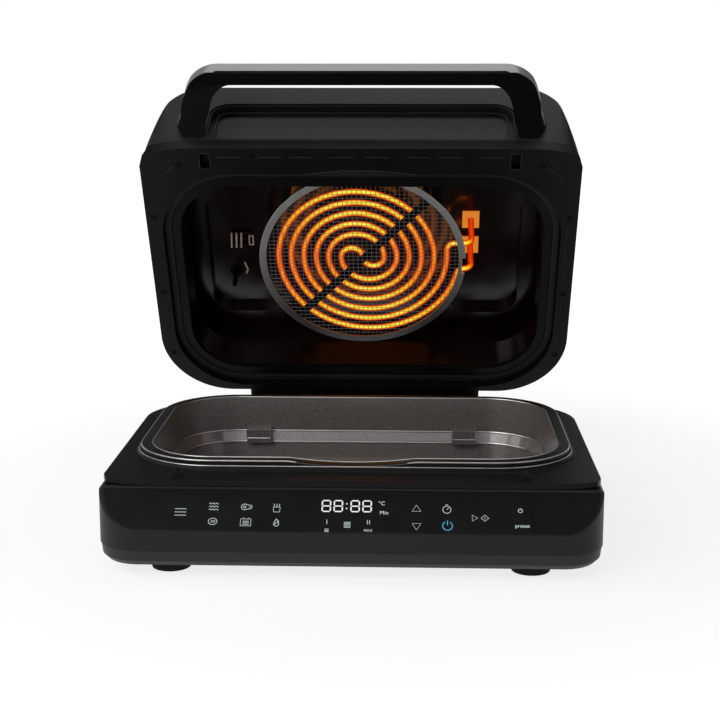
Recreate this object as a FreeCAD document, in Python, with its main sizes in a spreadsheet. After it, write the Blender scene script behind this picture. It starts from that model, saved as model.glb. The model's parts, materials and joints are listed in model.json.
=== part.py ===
"""A countertop air fryer grill with its lid open.

The base is modelled from its top deck: x to the right, y back from the deck's front line and z up
from the deck's top face. The lid is modelled as it lies when closed: y back from the same front
line and z up from its rim plane. Two placements, one for each, then stand the base on its feet and
swing the lid open about the hinge.
"""

import FreeCAD
import Part
import Sketcher
import math
import os
import re

SIZES = {
    # Where the part stands
    "front_line": 231.9,
    "deck_height": 84,
    # Plan of the deck and of the lid's rim
    "deck_width": 460,
    "deck_depth": 324,
    "deck_corner": 78,
    "front_bow": 4.5,
    "bow_flat_margin": 50,
    "bow_sweep": 8.5,
    "facet_width": 4,
    "facet_depth": 21.5,
    # Top deck
    "deck_thickness": 5.4,
    "deck_step": 1,
    "deck_step_inset": 1.6,
    "collar_height": 5,
    "collar_bend": 2,
    "collar_width": 2,
    "collar_flare": 5,
    "fin_side_margin": 69,
    "fin_back": 7,
    "fin_width": 12,
    "fin_height": 8,
    "fin_depth": 8,
    # Base housing and tub
    "body_overhang": 1.5,
    "body_front": 35,
    "body_rear_overhang": 3,
    "body_front_corner": 39,
    "body_rear_corner": 80,
    "body_wall": 3,
    "bevel": 3,
    "tub_height": 15,
    "seam_step": 0.8,
    "tub_taper": 2,
    "tub_edge_height": 5,
    "foot_height": 11,
    "tub_chamfer": 7,
    "tub_floor": 3,
    "tub_wall": 3.2,
    "vent_count": 7,
    "vent_length": 46,
    "vent_width": 3,
    "vent_pitch": 9,
    "vent_spread": 95,
    # Control panel
    "panel_back": 2.5,
    "panel_top_drop": 8.4,
    "panel_bottom_drop": 39.5,
    "panel_thickness": 2.5,
    "panel_side_margin": 4.5,
    "panel_front_margin": 1,
    "panel_gap": 0.3,
    "display_width": 56,
    "display_tall": 17,
    "display_depth": 6,
    "display_back": 22.5,
    "board_thickness": 1.6,
    "touch_board_margin": 80,
    "touch_board_tall": 26,
    "power_board_width": 170,
    "power_board_depth": 40,
    "power_board_front": 24,
    "standoff_height": 6,
    "standoff_radius": 3,
    "transformer_width": 26,
    "transformer_height": 20,
    "capacitor_radius": 6,
    "capacitor_count": 3,
    # Pot and its well
    "pot_side_margin": 20,
    "pot_front": 30.5,
    "pot_rear_margin": 10.5,
    "pot_corner": 77,
    "pot_rim_height": 5,
    "pot_rim_round": 1.6,
    "pot_rim_width": 12,
    "pot_wall": 1.8,
    "pot_floor_room": 18,
    "pot_ledge_top": 27,
    "pot_ledge_bottom": 38,
    "pot_upper_draft": 4,
    "pot_ledge_inset": 10,
    "pot_lower_inset": 14,
    "pot_pad_width": 26,
    "pot_pad_margin": 97,
    "pot_pad_depth": 9,
    "pot_pad_drop": 23,
    "pot_dip_width": 118,
    "pot_dip_depth": 4,
    "well_gap": 2.5,
    "well_wall": 1.2,
    "well_flange": 5,
    "well_floor_gap": 1,
    "well_foot_inset": 6,
    # Feet and base screws
    "foot_radius": 20,
    "foot_side_margin": 65.5,
    "foot_front": 2,
    "foot_rear_margin": 43,
    "foot_recess": 6,
    "foot_recess_depth": 4,
    "foot_taper": 2,
    "screw_shank": 1.6,
    "screw_head": 3.4,
    "screw_head_height": 2,
    "foot_screw_length": 8,
    "tub_screw_margin": 10.5,
    "tub_screw_front": 60,
    "tub_screw_rear_margin": 97,
    "tub_boss_radius": 8,
    "tub_boss_end": -38,
    "tub_screw_end": -46,
    # Hinge
    "hinge_setback": 29.6,
    "hinge_height": 30,
    "lid_gap": 3,
    "lid_open": 61.3,
    "lug_inner": 60,
    "lug_width": 32.5,
    "lug_radius": 12,
    "lug_plate_side": 8,
    "lug_plate_thickness": 3,
    "lug_plate_top": 30,
    "pin_radius": 4,
    "pin_fit": 0.05,
    "pin_clearance": 0.3,
    "pin_head_radius": 6.5,
    "pin_head_length": 3,
    "side_clearance": 0.5,
    "knuckle_width": 40,
    "yoke_back": 7,
    "yoke_thickness": 7,
    "yoke_cut_top": 17,
    "yoke_strip_depth": 5.5,
    "yoke_screw_inner": 53,
    "yoke_screw_outer": 113,
    "yoke_tap": 5.5,
    "yoke_strip_height": 4,
    # Cord gland
    "gland_offset": 143,
    "gland_drop": 34,
    "gland_radius": 8,
    "gland_length": 12,
    "gland_neck": 6,
    "gland_tip": 4.8,
    "gland_bore": 3.8,
    # Lid shell
    "lid_height": 143,
    "front_draft": 2,
    "side_draft": 10.4,
    "front_edge_radius": 14,
    "rear_edge_radius": 40,
    "side_edge_radius": 70,
    "shell_corner": 30,
    "lid_wall": 3,
    "scoop_margin": 67,
    "scoop_low": 21,
    "scoop_high": 96,
    "scoop_back": 9,
    "scoop_corner": 22,
    "vent_slot_length": 150,
    "vent_slot_height": 3,
    "vent_slot_low": 60,
    "vent_slot_pitch": 8,
    "vent_slot_count": 4,
    # Rim frame
    "rim_height": 16,
    "groove_gap": 3.5,
    "groove_corner": 79,
    "groove_width": 8.5,
    "groove_depth": 15,
    "band_depth": 10,
    "mouth_side": 9,
    "mouth_front": 13,
    "mouth_rear": 10.5,
    "mouth_corner": 58,
    "seal_gap": 0.5,
    "seal_low": 8,
    "socket_width": 10,
    "socket_length": 18,
    "socket_depth": 9,
    "notch_width": 124,
    "notch_depth": 6,
    # Cavity liner
    "liner_wall": 0.8,
    "liner_side": 24,
    "liner_front": 32,
    "liner_rear_margin": 13,
    "liner_corner": 62,
    "liner_flange": 5,
    "ceiling_level": 62,
    "ceiling_inset": 8,
    "pocket_inner": 96,
    "pocket_side_margin": 54,
    "pocket_front": 92,
    "pocket_rear_margin": 55,
    "pocket_corner": 24,
    "pocket_depth": 12,
    "slot_count": 3,
    "slot_margin": 50,
    "slot_length": 24,
    "slot_back": 148,
    "slot_pitch": 8,
    "slot_width": 4,
    # Guard under the coil
    "coil_back": 152,
    "guard_radius": 113.7,
    "guard_ring_width": 7.5,
    "guard_level": 18.3,
    "guard_ring_height": 2.4,
    "mesh_overlap": 3,
    "mesh_thickness": 0.8,
    "mesh_pitch": 13,
    "mesh_wire": 1.6,
    "clip_width": 14,
    "clip_thickness": 1.5,
    "clip_angle": 45,
    "clip_count": 4,
    "ring_notch_near": 4.5,
    "ring_notch_far": 15.5,
    "ring_notch_depth": 4,
    # Heating tube
    "tube_diameter": 6.6,
    "coil_level": 27.1,
    "coil_pitch": 13.8,
    "coil_core": 30.7,
    "coil_half_turns": 5,
    "lead_bend": 9,
    "lead_front": 18.9,
    "lead_rear": 15.4,
    "lead_side": 120,
    "lead_top": 82,
    "tube_fit": 0.15,
    "terminal_width": 19,
    "terminal_length": 22,
    "terminal_thickness": 2,
    "strap_width": 9,
    "strap_thickness": 1.2,
    "strap_level": 22.2,
    "strap_reach": 103,
    "strap_angle": 47.2,
    # Fan and motor
    "fan_radius": 66,
    "fan_low": 36,
    "fan_disc_level": 54,
    "fan_disc_thickness": 1.2,
    "fan_blade_count": 12,
    "fan_blade_thickness": 1.2,
    "fan_blade_inner": 34,
    "fan_blade_lean": 14,
    "fan_hub_radius": 9,
    "shaft_radius": 3,
    "shaft_top": 112,
    "shaft_hole": 7,
    "bracket_level": 74,
    "bracket_size": 104,
    "bracket_thickness": 2,
    "post_radius": 4,
    "motor_radius": 30,
    "motor_height": 26,
    "motor_shoulder": 4,
    "motor_cap_radius": 12,
    "shaft_clearance": 0.4,
    "cooling_radius": 42,
    "cooling_level": 104,
    "cooling_height": 8,
    "cooling_blade_count": 9,
    # Temperature sensor
    "sensor_side_margin": 28,
    "sensor_rear_margin": 50,
    "sensor_radius": 2.5,
    "sensor_low": 46,
    "sensor_flange": 7,
    # Handle
    "handle_margin": 31,
    "handle_draw": 11,
    "handle_corner": 38,
    "handle_arm": 29,
    "handle_inner_corner": 22,
    "handle_front": 58,
    "handle_bar_depth": 15,
    "handle_bar_lean": 2,
    "handle_root_back": 10,
    "handle_bar_low": 64,
    "handle_bar_high": 81,
    "handle_root_low": 7,
    "handle_root_high": 41,
    "handle_toe_high": 60,
    "handle_toe_draw": 23,
    "handle_skin": 1.5,
    "trim_height": 15.5,
    "trim_back": 8,
    "grip_screw_margin": 15,
    "grip_screw_low": 33,
    "grip_screw_high": 43,
    "grip_screw_depth": 9,
    # Rim screws, from the middle outwards and then down the side
    "screw_row_back": 6,
    "screw_inner_side": 41,
    "screw_outer_margin": 118.5,
    "screw_corner_margin": 42,
    "screw_corner_back": 15,
    "screw_edge_inset": 9,
    "screw_edge_front": 81,
    "screw_edge_middle": 181,
    "screw_edge_margin": 56,
    "screw_rear_inset": 12.5,
    "rim_screw_length": 13,
    "screw_sink": 0.5,
    "screw_clearance": 0.2,
}

# Sizes that follow from others, so that one change carries the pieces round it along
FOLLOWING = {
    "tub_drop": "deck_height - foot_height",
    "tub_edge_drop": "tub_drop - tub_edge_height",
    "seam_drop": "tub_drop - tub_height",
    "pot_floor_drop": "tub_drop - pot_floor_room",
    "body_width": "deck_width + 2 * body_overhang",
    "body_rear": "deck_depth + body_rear_overhang",
    "pot_width": "deck_width - 2 * pot_side_margin",
    "pot_depth": "deck_depth - pot_front - pot_rear_margin",
    "bow_flat": "deck_width / 2 - bow_flat_margin",
    "fin_spread": "deck_width / 2 - fin_side_margin",
    "touch_board_width": "deck_width - touch_board_margin",
    "pot_pad_spread": "pot_width / 2 - pot_pad_margin",
    "foot_spread": "body_width / 2 - foot_side_margin",
    "foot_rear": "body_rear - foot_rear_margin",
    "tub_screw_spread": "body_width / 2 - tub_screw_margin",
    "tub_screw_rear": "body_rear - tub_screw_rear_margin",
    "hinge_back": "deck_depth + hinge_setback",
    "scoop_width": "deck_width - 2 * scoop_margin",
    "liner_rear": "deck_depth - liner_rear_margin",
    "pocket_outer": "deck_width / 2 - pocket_side_margin",
    "pocket_rear": "liner_rear - pocket_rear_margin",
    "slot_side": "pocket_outer - slot_margin",
    "sensor_side": "pocket_outer - sensor_side_margin",
    "sensor_back": "pocket_rear - sensor_rear_margin",
    "handle_root_width": "deck_width - 2 * handle_margin",
    "handle_bar_width": "handle_root_width - 2 * handle_draw",
    "grip_screw_side": "handle_root_width / 2 - grip_screw_margin",
    "screw_outer_side": "deck_width / 2 - screw_outer_margin",
    "screw_corner_side": "deck_width / 2 - screw_corner_margin",
    "screw_edge_rear": "deck_depth - screw_edge_margin",
}

doc = FreeCAD.newDocument("AirFryerGrill")
sheet = doc.addObject("Spreadsheet::Sheet", "Sizes")
formulas = {alias: f"={text}" for alias, text in FOLLOWING.items()}
CELLS = {**SIZES, **formulas}
for row, (alias, content) in enumerate(CELLS.items(), start=1):
    sheet.set(f"A{row}", alias)
    sheet.set(f"B{row}", str(content))
    sheet.setAlias(f"B{row}", alias)
doc.recompute()

WORD = re.compile(r"[a-z][a-z_]+")
TURN = {"XY": ((0, 0, 1), 0), "XZ": ((1, 0, 0), 90), "YZ": ((1, 1, 1), 120)}
LEVEL_AXIS = {"XY": "z", "XZ": "y", "YZ": "x"}
AXIS_TURN = {"X": ((0, 1, 0), 90), "Y": ((1, 0, 0), -90), "Z": ((0, 0, 1), 0)}
nodes = []


def bound(text):
    """Writes each size in an expression as a cell of the sheet."""
    return WORD.sub(lambda word: f"Sizes.{word[0]}" if word[0] in CELLS else word[0], text)


def amount(text):
    """The present value of an expression."""
    found = sheet.evalExpression(bound(text))
    return float(getattr(found, "Value", found))


def bind(thing, path, text):
    thing.setExpression(path, bound(text))


def turned(axis, angle):
    return FreeCAD.Rotation(FreeCAD.Vector(*axis), angle)


def add(kind, name, **values):
    thing = doc.addObject(kind, name)
    for key, value in values.items():
        setattr(thing, key, value)
    return thing


# Outlines


def arc_between(start, finish, radius, turn):
    """The smaller arc from start to finish that turns left (1) or right (-1)."""
    chord = finish - start
    half = chord.Length / 2
    side = FreeCAD.Vector(-chord.y, chord.x, 0).normalize()
    rise = math.sqrt(max(radius**2 - half**2, 0))
    centre = start + chord * 0.5 + side * (rise * turn)
    first, last = (start, finish) if turn > 0 else (finish, start)
    begin = math.atan2(first.y - centre.y, first.x - centre.x)
    end = math.atan2(last.y - centre.y, last.x - centre.x)
    return Part.ArcOfCircle(Part.Circle(centre, FreeCAD.Vector(0, 0, 1), radius), begin, end)


def outline(name, plane, level, points, body=None):
    """A closed sketch. A point is (x, y), or (x, y, radius, turn) where an arc starts there."""
    if body:
        sketch = body.newObject("Sketcher::SketchObject", name)
        roles = {feature.Role: feature for feature in body.Origin.OriginFeatures}
        sketch.AttachmentSupport = [(roles[f"{plane}_Plane"], "")]
        sketch.MapMode = "FlatFace"
        bind(sketch, "AttachmentOffset.Base.z", level)
    else:
        sketch = doc.addObject("Sketcher::SketchObject", name)
        sketch.Placement = FreeCAD.Placement(FreeCAD.Vector(), turned(*TURN[plane]))
        bind(sketch, f"Placement.Base.{LEVEL_AXIS[plane]}", level)
    spots = [FreeCAD.Vector(amount(point[0]), amount(point[1]), 0) for point in points]
    after = spots[1:] + spots[:1]
    edges = []
    ends = []
    for point, start, finish in zip(points, spots, after):
        if len(point) == 2:
            edges.append(Part.LineSegment(start, finish))
            ends.append((1, 2))
        else:
            edges.append(arc_between(start, finish, amount(point[2]), point[3]))
            ends.append((1, 2) if point[3] > 0 else (2, 1))
    sketch.addGeometry(edges, False)
    rules = []
    sizes = []
    for k, point in enumerate(points):
        other = (k + 1) % len(points)
        rules.append(Sketcher.Constraint("Coincident", k, ends[k][1], other, ends[other][0]))
        sizes.append((len(rules), point[0]))
        rules.append(Sketcher.Constraint("DistanceX", k, ends[k][0], spots[k].x))
        sizes.append((len(rules), point[1]))
        rules.append(Sketcher.Constraint("DistanceY", k, ends[k][0], spots[k].y))
        if len(point) > 2:
            sizes.append((len(rules), point[2]))
            rules.append(Sketcher.Constraint("Radius", k, edges[k].Radius))
    sketch.addConstraint(rules)
    for index, text in sizes:
        bind(sketch, f"Constraints[{index}]", text)
    return sketch


def rounded(half, front, rear, front_corner, rear_corner):
    """A plan with round corners, as a function of how far it is drawn in."""

    def points(inset):
        side = f"({half} - ({inset}))"
        near = f"({front} + {inset})"
        far = f"({rear} - ({inset}))"
        small = f"({front_corner} - ({inset}))"
        large = f"({rear_corner} - ({inset}))"
        return [
            (f"{small} - {side}", near),
            (f"{side} - {small}", near, small, 1),
            (side, f"{near} + {small}"),
            (side, f"{far} - {large}", large, 1),
            (f"{side} - {large}", far),
            (f"{large} - {side}", far, large, 1),
            (f"-{side}", f"{far} - {large}"),
            (f"-{side}", f"{near} + {small}", small, 1),
        ]

    return points


def deck_plan(inset):
    """Flat front that sweeps back to a small facet at each corner, and round rear corners."""
    side = f"(deck_width / 2 - ({inset}))"
    near = f"({inset} - front_bow)"
    far = f"(deck_depth - ({inset}))"
    large = f"(deck_corner - ({inset}))"
    corner = f"({side} - facet_width)"
    sweep = f"((({corner} - bow_flat)^2 + bow_sweep^2) / (2 * bow_sweep))"
    return [
        ("-bow_flat", near),
        ("bow_flat", near, sweep, 1),
        (corner, f"{near} + bow_sweep"),
        (side, f"{near} + facet_depth"),
        (side, f"{far} - {large}", large, 1),
        (f"{side} - {large}", far),
        (f"{large} - {side}", far, large, 1),
        (f"-{side}", f"{far} - {large}"),
        (f"-{side}", f"{near} + facet_depth"),
        (f"-{corner}", f"{near} + bow_sweep", sweep, 1),
    ]


body_plan = rounded("body_width / 2", "-body_front", "body_rear", "body_front_corner", "body_rear_corner")
pot_plan = rounded("pot_width / 2", "pot_front", "(pot_front + pot_depth)", "pot_corner", "pot_corner")
bowl_plan = rounded(
    "(pot_width / 2 - pot_rim_width)",
    "(pot_front + pot_rim_width)",
    "(pot_front + pot_depth - pot_rim_width)",
    "(pot_corner - pot_rim_width)",
    "(pot_corner - pot_rim_width)",
)
groove_plan = rounded(
    "(pot_width / 2 + groove_gap)",
    "(pot_front - groove_gap)",
    "(pot_front + pot_depth + groove_gap)",
    "groove_corner",
    "groove_corner",
)
mouth_plan = rounded(
    "(pot_width / 2 + groove_gap - groove_width - mouth_side)",
    "(pot_front - groove_gap + groove_width + mouth_front)",
    "(pot_front + pot_depth + groove_gap - groove_width - mouth_rear)",
    "mouth_corner",
    "mouth_corner",
)
liner_plan = rounded(
    "(deck_width / 2 - liner_side)", "liner_front", "liner_rear", "liner_corner", "liner_corner"
)
shell_plan = rounded("deck_width / 2", "-front_bow", "deck_depth", "shell_corner", "deck_corner")


# Solids


def prism(name, sketch, length):
    solid = add("Part::Extrusion", name, Base=sketch, DirMode="Normal", Solid=True)
    bind(solid, "LengthFwd", length)
    return solid


def slab(name, plan, low, high, inset="0"):
    """A plan raised straight from one level to another."""
    sketch = outline(f"{name}_plan", "XY", low, plan(inset))
    return prism(name, sketch, f"({high}) - ({low})")


def tapered(name, plan, levels):
    """A ruled solid through one plan, drawn in by its own amount at each level."""
    sections = []
    for count, (level, inset) in enumerate(levels):
        sections.append(outline(f"{name}_plan_{count}", "XY", level, plan(inset)))
    return add("Part::Loft", name, Sections=sections, Solid=True, Ruled=True)


def across(name, points, low, high):
    """A side profile (y, z) drawn from one x to another."""
    return prism(name, outline(f"{name}_side", "YZ", low, points), f"({high}) - ({low})")


def backwards(name, points, low, high):
    """A front profile (x, z) drawn from one y to another."""
    solid = prism(name, outline(f"{name}_face", "XZ", low, points), f"({high}) - ({low})")
    solid.Reversed = True
    return solid


def block(name, xs, ys, zs):
    box = add("Part::Box", name)
    for (low, high), length, axis in zip((xs, ys, zs), ("Length", "Width", "Height"), "xyz"):
        bind(box, f"Placement.Base.{axis}", low)
        bind(box, length, f"({high}) - ({low})")
    return box


def rod(name, axis, centre, radius, low, high):
    """A cylinder along an axis, from low to high on it, about the centre's other two values."""
    solid = add("Part::Cylinder", name)
    solid.Placement = FreeCAD.Placement(FreeCAD.Vector(), turned(*AXIS_TURN[axis]))
    spot = list(centre)
    spot.insert("XYZ".index(axis), low)
    for letter, text in zip("xyz", spot):
        bind(solid, f"Placement.Base.{letter}", text)
    bind(solid, "Radius", radius)
    bind(solid, "Height", f"({high}) - ({low})")
    return solid


def fuse(name, *solids):
    return add("Part::MultiFuse", name, Shapes=list(solids), Refine=True)


def cut(name, base, *tools):
    tool = tools[0] if len(tools) == 1 else add("Part::MultiFuse", f"{name}_tools", Shapes=list(tools))
    return add("Part::Cut", name, Base=base, Tool=tool)


def common(name, *solids):
    return add("Part::MultiCommon", name, Shapes=list(solids))


def set_at(solid, x="0", y="0", z="0"):
    """Moves a solid that was made about its own origin."""
    for letter, text in zip("xyz", (x, y, z)):
        bind(solid, f"Placement.Base.{letter}", text)
    return solid


def spun(solid, angle, y):
    """Turns a solid made about its own origin round z and sets it at the given y."""
    bind(solid, "Placement.Rotation.Angle", angle)
    return set_at(solid, y=y)


# Features of a body


def pad(body, name, sketch, length):
    feature = body.newObject("PartDesign::Pad", name)
    feature.Profile = sketch
    bind(feature, "Length", length)
    return feature


def revolved(name, points):
    """A body turned from a profile (radius, z) about z."""
    body = doc.addObject("PartDesign::Body", name)
    sketch = outline(f"{name}_profile", "XZ", "0", points, body)
    feature = body.newObject("PartDesign::Revolution", f"{name}_turn")
    feature.Profile = sketch
    feature.ReferenceAxis = (sketch, ["V_Axis"])
    feature.Angle = 360
    return body


# Nodes


def node(name, in_lid, *solids):
    """Gives a sub-part its name and the placement of the base or of the open lid."""
    whole = add("Part::Compound", name, Links=list(solids))
    whole.Label = name
    if in_lid:
        lift = "(deck_height - hinge_height + lid_gap)"
        whole.Placement = FreeCAD.Placement(FreeCAD.Vector(), turned((-1, 0, 0), 1))
        bind(whole, "Placement.Rotation.Angle", "lid_open")
        back = f"hinge_back * (1 - cos(lid_open)) + {lift} * sin(lid_open)"
        bind(whole, "Placement.Base.y", f"{back} - front_line")
        rise = f"hinge_back * sin(lid_open) + {lift} * cos(lid_open)"
        bind(whole, "Placement.Base.z", f"hinge_height + {rise}")
    else:
        bind(whole, "Placement.Base.y", "-front_line")
        bind(whole, "Placement.Base.z", "deck_height")
    nodes.append(whole)
    return whole


def base_node(name, *solids):
    return node(name, False, *solids)


def lid_node(name, *solids):
    return node(name, True, *solids)


def span(side, near, far):
    """The range from near to far on one side, side being "1" or "-1"."""
    return (near, far) if side == "1" else (f"-({far})", f"-({near})")


def on_both_sides(name, build):
    """Builds a base piece on the left, then the same piece on the right."""
    for word, side in (("left", "-1"), ("right", "1")):
        base_node(f"{name}_{word}", build(f"{name}_{word}_solid", side))


def screw(name, axis, centre, seat, point, up):
    """A screw whose head stands off the seat on the side away from its point."""
    head = (f"({seat}) - screw_head_height", seat) if up else (seat, f"({seat}) + screw_head_height")
    shank = (seat, point) if up else (point, seat)
    parts = [rod(f"{name}_head", axis, centre, "screw_head", *head)]
    parts.append(rod(f"{name}_shank", axis, centre, "screw_shank", *shank))
    return fuse(name, *parts)


def screw_hole(name, axis, centre, low, high):
    return rod(name, axis, centre, "(screw_shank + screw_clearance)", low, high)


UNDER_DECK = "(-(deck_thickness + deck_step))"
HINGE_DROP = "(deck_height - hinge_height)"
KNUCKLE_INNER = "(lug_inner + lug_width + side_clearance)"
KNUCKLE_OUTER = f"({KNUCKLE_INNER} + knuckle_width)"
FLOOR_LEVEL = "(tub_floor - tub_drop)"

# Base: the housing with its tilted front

RUN = "(body_front - panel_back)"
FALL = "(panel_bottom_drop - panel_top_drop)"
PANEL_LEAN = f"(sqrt({RUN}^2 + {FALL}^2) / {RUN})"
PANEL_ANGLE = f"atan({FALL} / {RUN})"

panel_plan = rounded(
    "(body_width / 2 - panel_side_margin)",
    "(panel_front_margin - body_front)",
    "body_front",
    "(body_front_corner - panel_side_margin)",
    "panel_side_margin",
)


def front_wedge(name, depth="0", back="0"):
    """All that lies in front of the panel's plane, set deeper by depth and ending further back."""
    slope = f"({FALL} / {RUN})"
    drop = f"(({depth}) * {PANEL_LEAN})"
    points = [
        (f"({back}) - panel_back", "body_front"),
        ("-2 * body_front", "body_front"),
        ("-2 * body_front", f"-panel_bottom_drop - body_front * {slope} - {drop}"),
        (f"({back}) - panel_back", f"({back}) * {slope} - panel_top_drop - {drop}"),
    ]
    return across(name, points, "-body_width", "body_width")


def panel_plate(name, grow):
    """The glass plate, or its recess when it is grown by the gap round it."""
    deep = front_wedge(f"{name}_under", "panel_thickness")
    slice_of_glass = cut(f"{name}_slice", deep, front_wedge(f"{name}_face"))
    edge = slab(f"{name}_edge", panel_plan, "-2 * panel_bottom_drop", "body_front", f"-({grow})")
    return common(name, slice_of_glass, edge)


def under_glass(name, width, tall, top, depth):
    """A plate laid along the tilted front, its top at a depth below the glass face."""
    xs = (f"-({width}) / 2", f"({width}) / 2")
    ys = (f"-({tall}) / 2", f"({tall}) / 2")
    plate = block(f"{name}_flat", xs, ys, (f"-({top}) - ({depth})", f"-({top})"))
    tilted = add("Part::Compound", name, Links=[plate])
    tilted.Placement = FreeCAD.Placement(FreeCAD.Vector(), turned((1, 0, 0), 1))
    bind(tilted, "Placement.Rotation.Angle", PANEL_ANGLE)
    bind(tilted, "Placement.Base.y", "display_back - body_front")
    bind(tilted, "Placement.Base.z", f"display_back * {FALL} / {RUN} - panel_bottom_drop")
    return tilted


def tub_screw_spots():
    for side in ("-", ""):
        for back in ("tub_screw_front", "tub_screw_rear"):
            yield f"{side}tub_screw_spread", back


def foot_spots():
    for side in ("-", ""):
        for back in ("foot_front", "foot_rear"):
            yield f"{side}foot_spread", back


def base_housing():
    top = "(deck_thickness + deck_step)"
    levels = [("-seam_drop", "0"), (f"-({top} + bevel)", "0"), (f"-{top}", "bevel")]
    outer = cut("housing_outer", tapered("housing_form", body_plan, levels), front_wedge("front_cut"))
    levels = [
        ("-seam_drop", "body_wall"),
        (f"-({top} + bevel)", "body_wall"),
        (f"-{top}", "(body_wall + bevel)"),
    ]
    hollow = tapered("housing_hollow", body_plan, levels)
    depth = "(panel_thickness + body_wall)"
    inner = cut("housing_inner", hollow, front_wedge("inner_cut", depth, "2 * body_wall"))
    walls = cut("housing_walls", outer, inner)
    bosses = []
    holes = [panel_plate("panel_recess", "panel_gap")]
    window = "display_tall + 2 * panel_gap"
    holes.append(under_glass("window", "display_width + 2 * panel_gap", window, "0", "3 * display_depth"))
    for count, spot in enumerate(tub_screw_spots()):
        bosses.append(rod(f"boss_{count}", "Z", spot, "tub_boss_radius", "-seam_drop", "-seam_drop / 2"))
        holes.append(rod(f"boss_hole_{count}", "Z", spot, "screw_shank", "-seam_drop", "tub_boss_end"))
    base_node("base_housing", cut("housing", fuse("housing_with_bosses", walls, *bosses), *holes))
    base_node("control_panel", panel_plate("glass", "0"))


def electronics():
    display = under_glass("display", "display_width", "display_tall", "panel_thickness", "display_depth")
    base_node("display_module", display)
    size = ("touch_board_width", "touch_board_tall")
    board = under_glass("touch_plate", *size, "panel_thickness + body_wall", "board_thickness")
    window = "display_tall + 2 * panel_gap"
    size = ("display_width + 2 * panel_gap", window)
    hole = under_glass("touch_window", *size, "0", "3 * display_depth")
    base_node("touch_board", cut("touch_solid", board, hole))

    low = f"({FLOOR_LEVEL} + standoff_height)"
    top = f"({low} + board_thickness)"
    near = "-power_board_front"
    far = "(power_board_depth - power_board_front)"
    edge = "power_board_width / 2"
    parts = [block("power_plate", (f"-{edge}", edge), (near, far), (low, top))]
    for side in ("-", ""):
        for back in (f"{near} + 2 * standoff_radius", f"{far} - 2 * standoff_radius"):
            spot = (f"{side}({edge} - 2 * standoff_radius)", back)
            parts.append(rod(f"standoff_{len(parts)}", "Z", spot, "standoff_radius", FLOOR_LEVEL, low))
    middle = f"({near} + {far}) / 2"
    coil_top = f"{top} + transformer_height"
    xs = (f"-{edge} + 4 * standoff_radius", f"-{edge} + 4 * standoff_radius + transformer_width")
    ys = (f"{middle} - transformer_width / 2", f"{middle} + transformer_width / 2")
    parts.append(block("transformer", xs, ys, (top, coil_top)))
    for count in range(round(amount("capacitor_count"))):
        spot = (f"{count} * 3 * capacitor_radius", middle)
        parts.append(rod(f"capacitor_{count}", "Z", spot, "capacitor_radius", top, coil_top))
    base_node("power_board", fuse("power_solid", *parts))


def base_tub():
    levels = [
        ("-tub_drop", "tub_chamfer"),
        ("-tub_edge_drop", "tub_taper"),
        ("-seam_drop", "seam_step"),
    ]
    outer = tapered("tub_form", body_plan, levels)
    levels = [
        (FLOOR_LEVEL, "(tub_chamfer + tub_wall / 2)"),
        ("-tub_edge_drop", "(tub_taper + tub_wall)"),
        ("-seam_drop", "(seam_step + tub_wall)"),
    ]
    tools = [tapered("tub_hollow", body_plan, levels)]
    for side in ("-1", "1"):
        for count in range(round(amount("vent_count"))):
            xs = span(side, "vent_spread", "vent_spread + vent_length")
            near = f"body_rear / 2 + {count} * vent_pitch - vent_count * vent_pitch / 2"
            ys = (near, f"{near} + vent_width")
            name = f"vent_{count}_{'left' if side == '-1' else 'right'}"
            tools.append(block(name, xs, ys, ("-2 * tub_drop", "0")))
    for count, spot in enumerate(tub_screw_spots()):
        tools.append(screw_hole(f"tub_hole_{count}", "Z", spot, "-2 * tub_drop", "0"))
    for count, spot in enumerate(foot_spots()):
        tools.append(screw_hole(f"foot_hole_{count}", "Z", spot, "-2 * tub_drop", "0"))
    base_node("base_tub", cut("tub", outer, *tools))
    screws = []
    for count, spot in enumerate(tub_screw_spots()):
        screws.append(screw(f"tub_screw_{count}", "Z", spot, "-tub_drop", "tub_screw_end", True))
    base_node("tub_screws", *screws)


def feet():
    low = "-deck_height"
    seat = "(foot_recess_depth - deck_height)"
    hole = "(screw_shank + screw_clearance)"
    profile = [
        (hole, seat),
        ("foot_recess", seat),
        ("foot_recess", low),
        ("foot_radius - foot_taper", low),
        ("foot_radius", "-tub_drop"),
        (hole, "-tub_drop"),
    ]
    rubber = []
    screws = []
    for count, spot in enumerate(foot_spots()):
        rubber.append(set_at(revolved(f"foot_{count}", profile), *spot))
        point = f"{seat} + foot_screw_length"
        screws.append(screw(f"foot_screw_{count}", "Z", spot, seat, point, True))
    base_node("feet", *rubber)
    base_node("foot_screws", *screws)


# Base: the deck, the pot and its well


def top_deck():
    plate = slab("deck_plate", deck_plan, "-deck_thickness", "0")
    step = slab("deck_underside", deck_plan, UNDER_DECK, "-deck_thickness", "deck_step_inset")
    levels = [
        ("0", "-(collar_width + collar_flare)"),
        ("collar_bend", "-(collar_width + collar_flare / 4)"),
        ("collar_height", "-collar_width"),
    ]
    collar = tapered("collar", pot_plan, levels)
    solids = [plate, step, collar]
    for side in ("-", ""):
        centre = f"{side}fin_spread"
        points = [
            (f"{centre} - fin_width / 2", "0"),
            (f"{centre} + fin_width / 2", "0"),
            (centre, "fin_height"),
        ]
        solids.append(backwards(f"fin_{len(solids)}", points, "fin_back", "fin_back + fin_depth"))
    gap = "-(pot_wall + well_gap)"
    opening = slab("deck_opening", bowl_plan, f"{UNDER_DECK} - 1", "collar_height + 1", gap)
    base_node("top_deck", cut("deck", fuse("deck_solid", *solids), opening))


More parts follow.
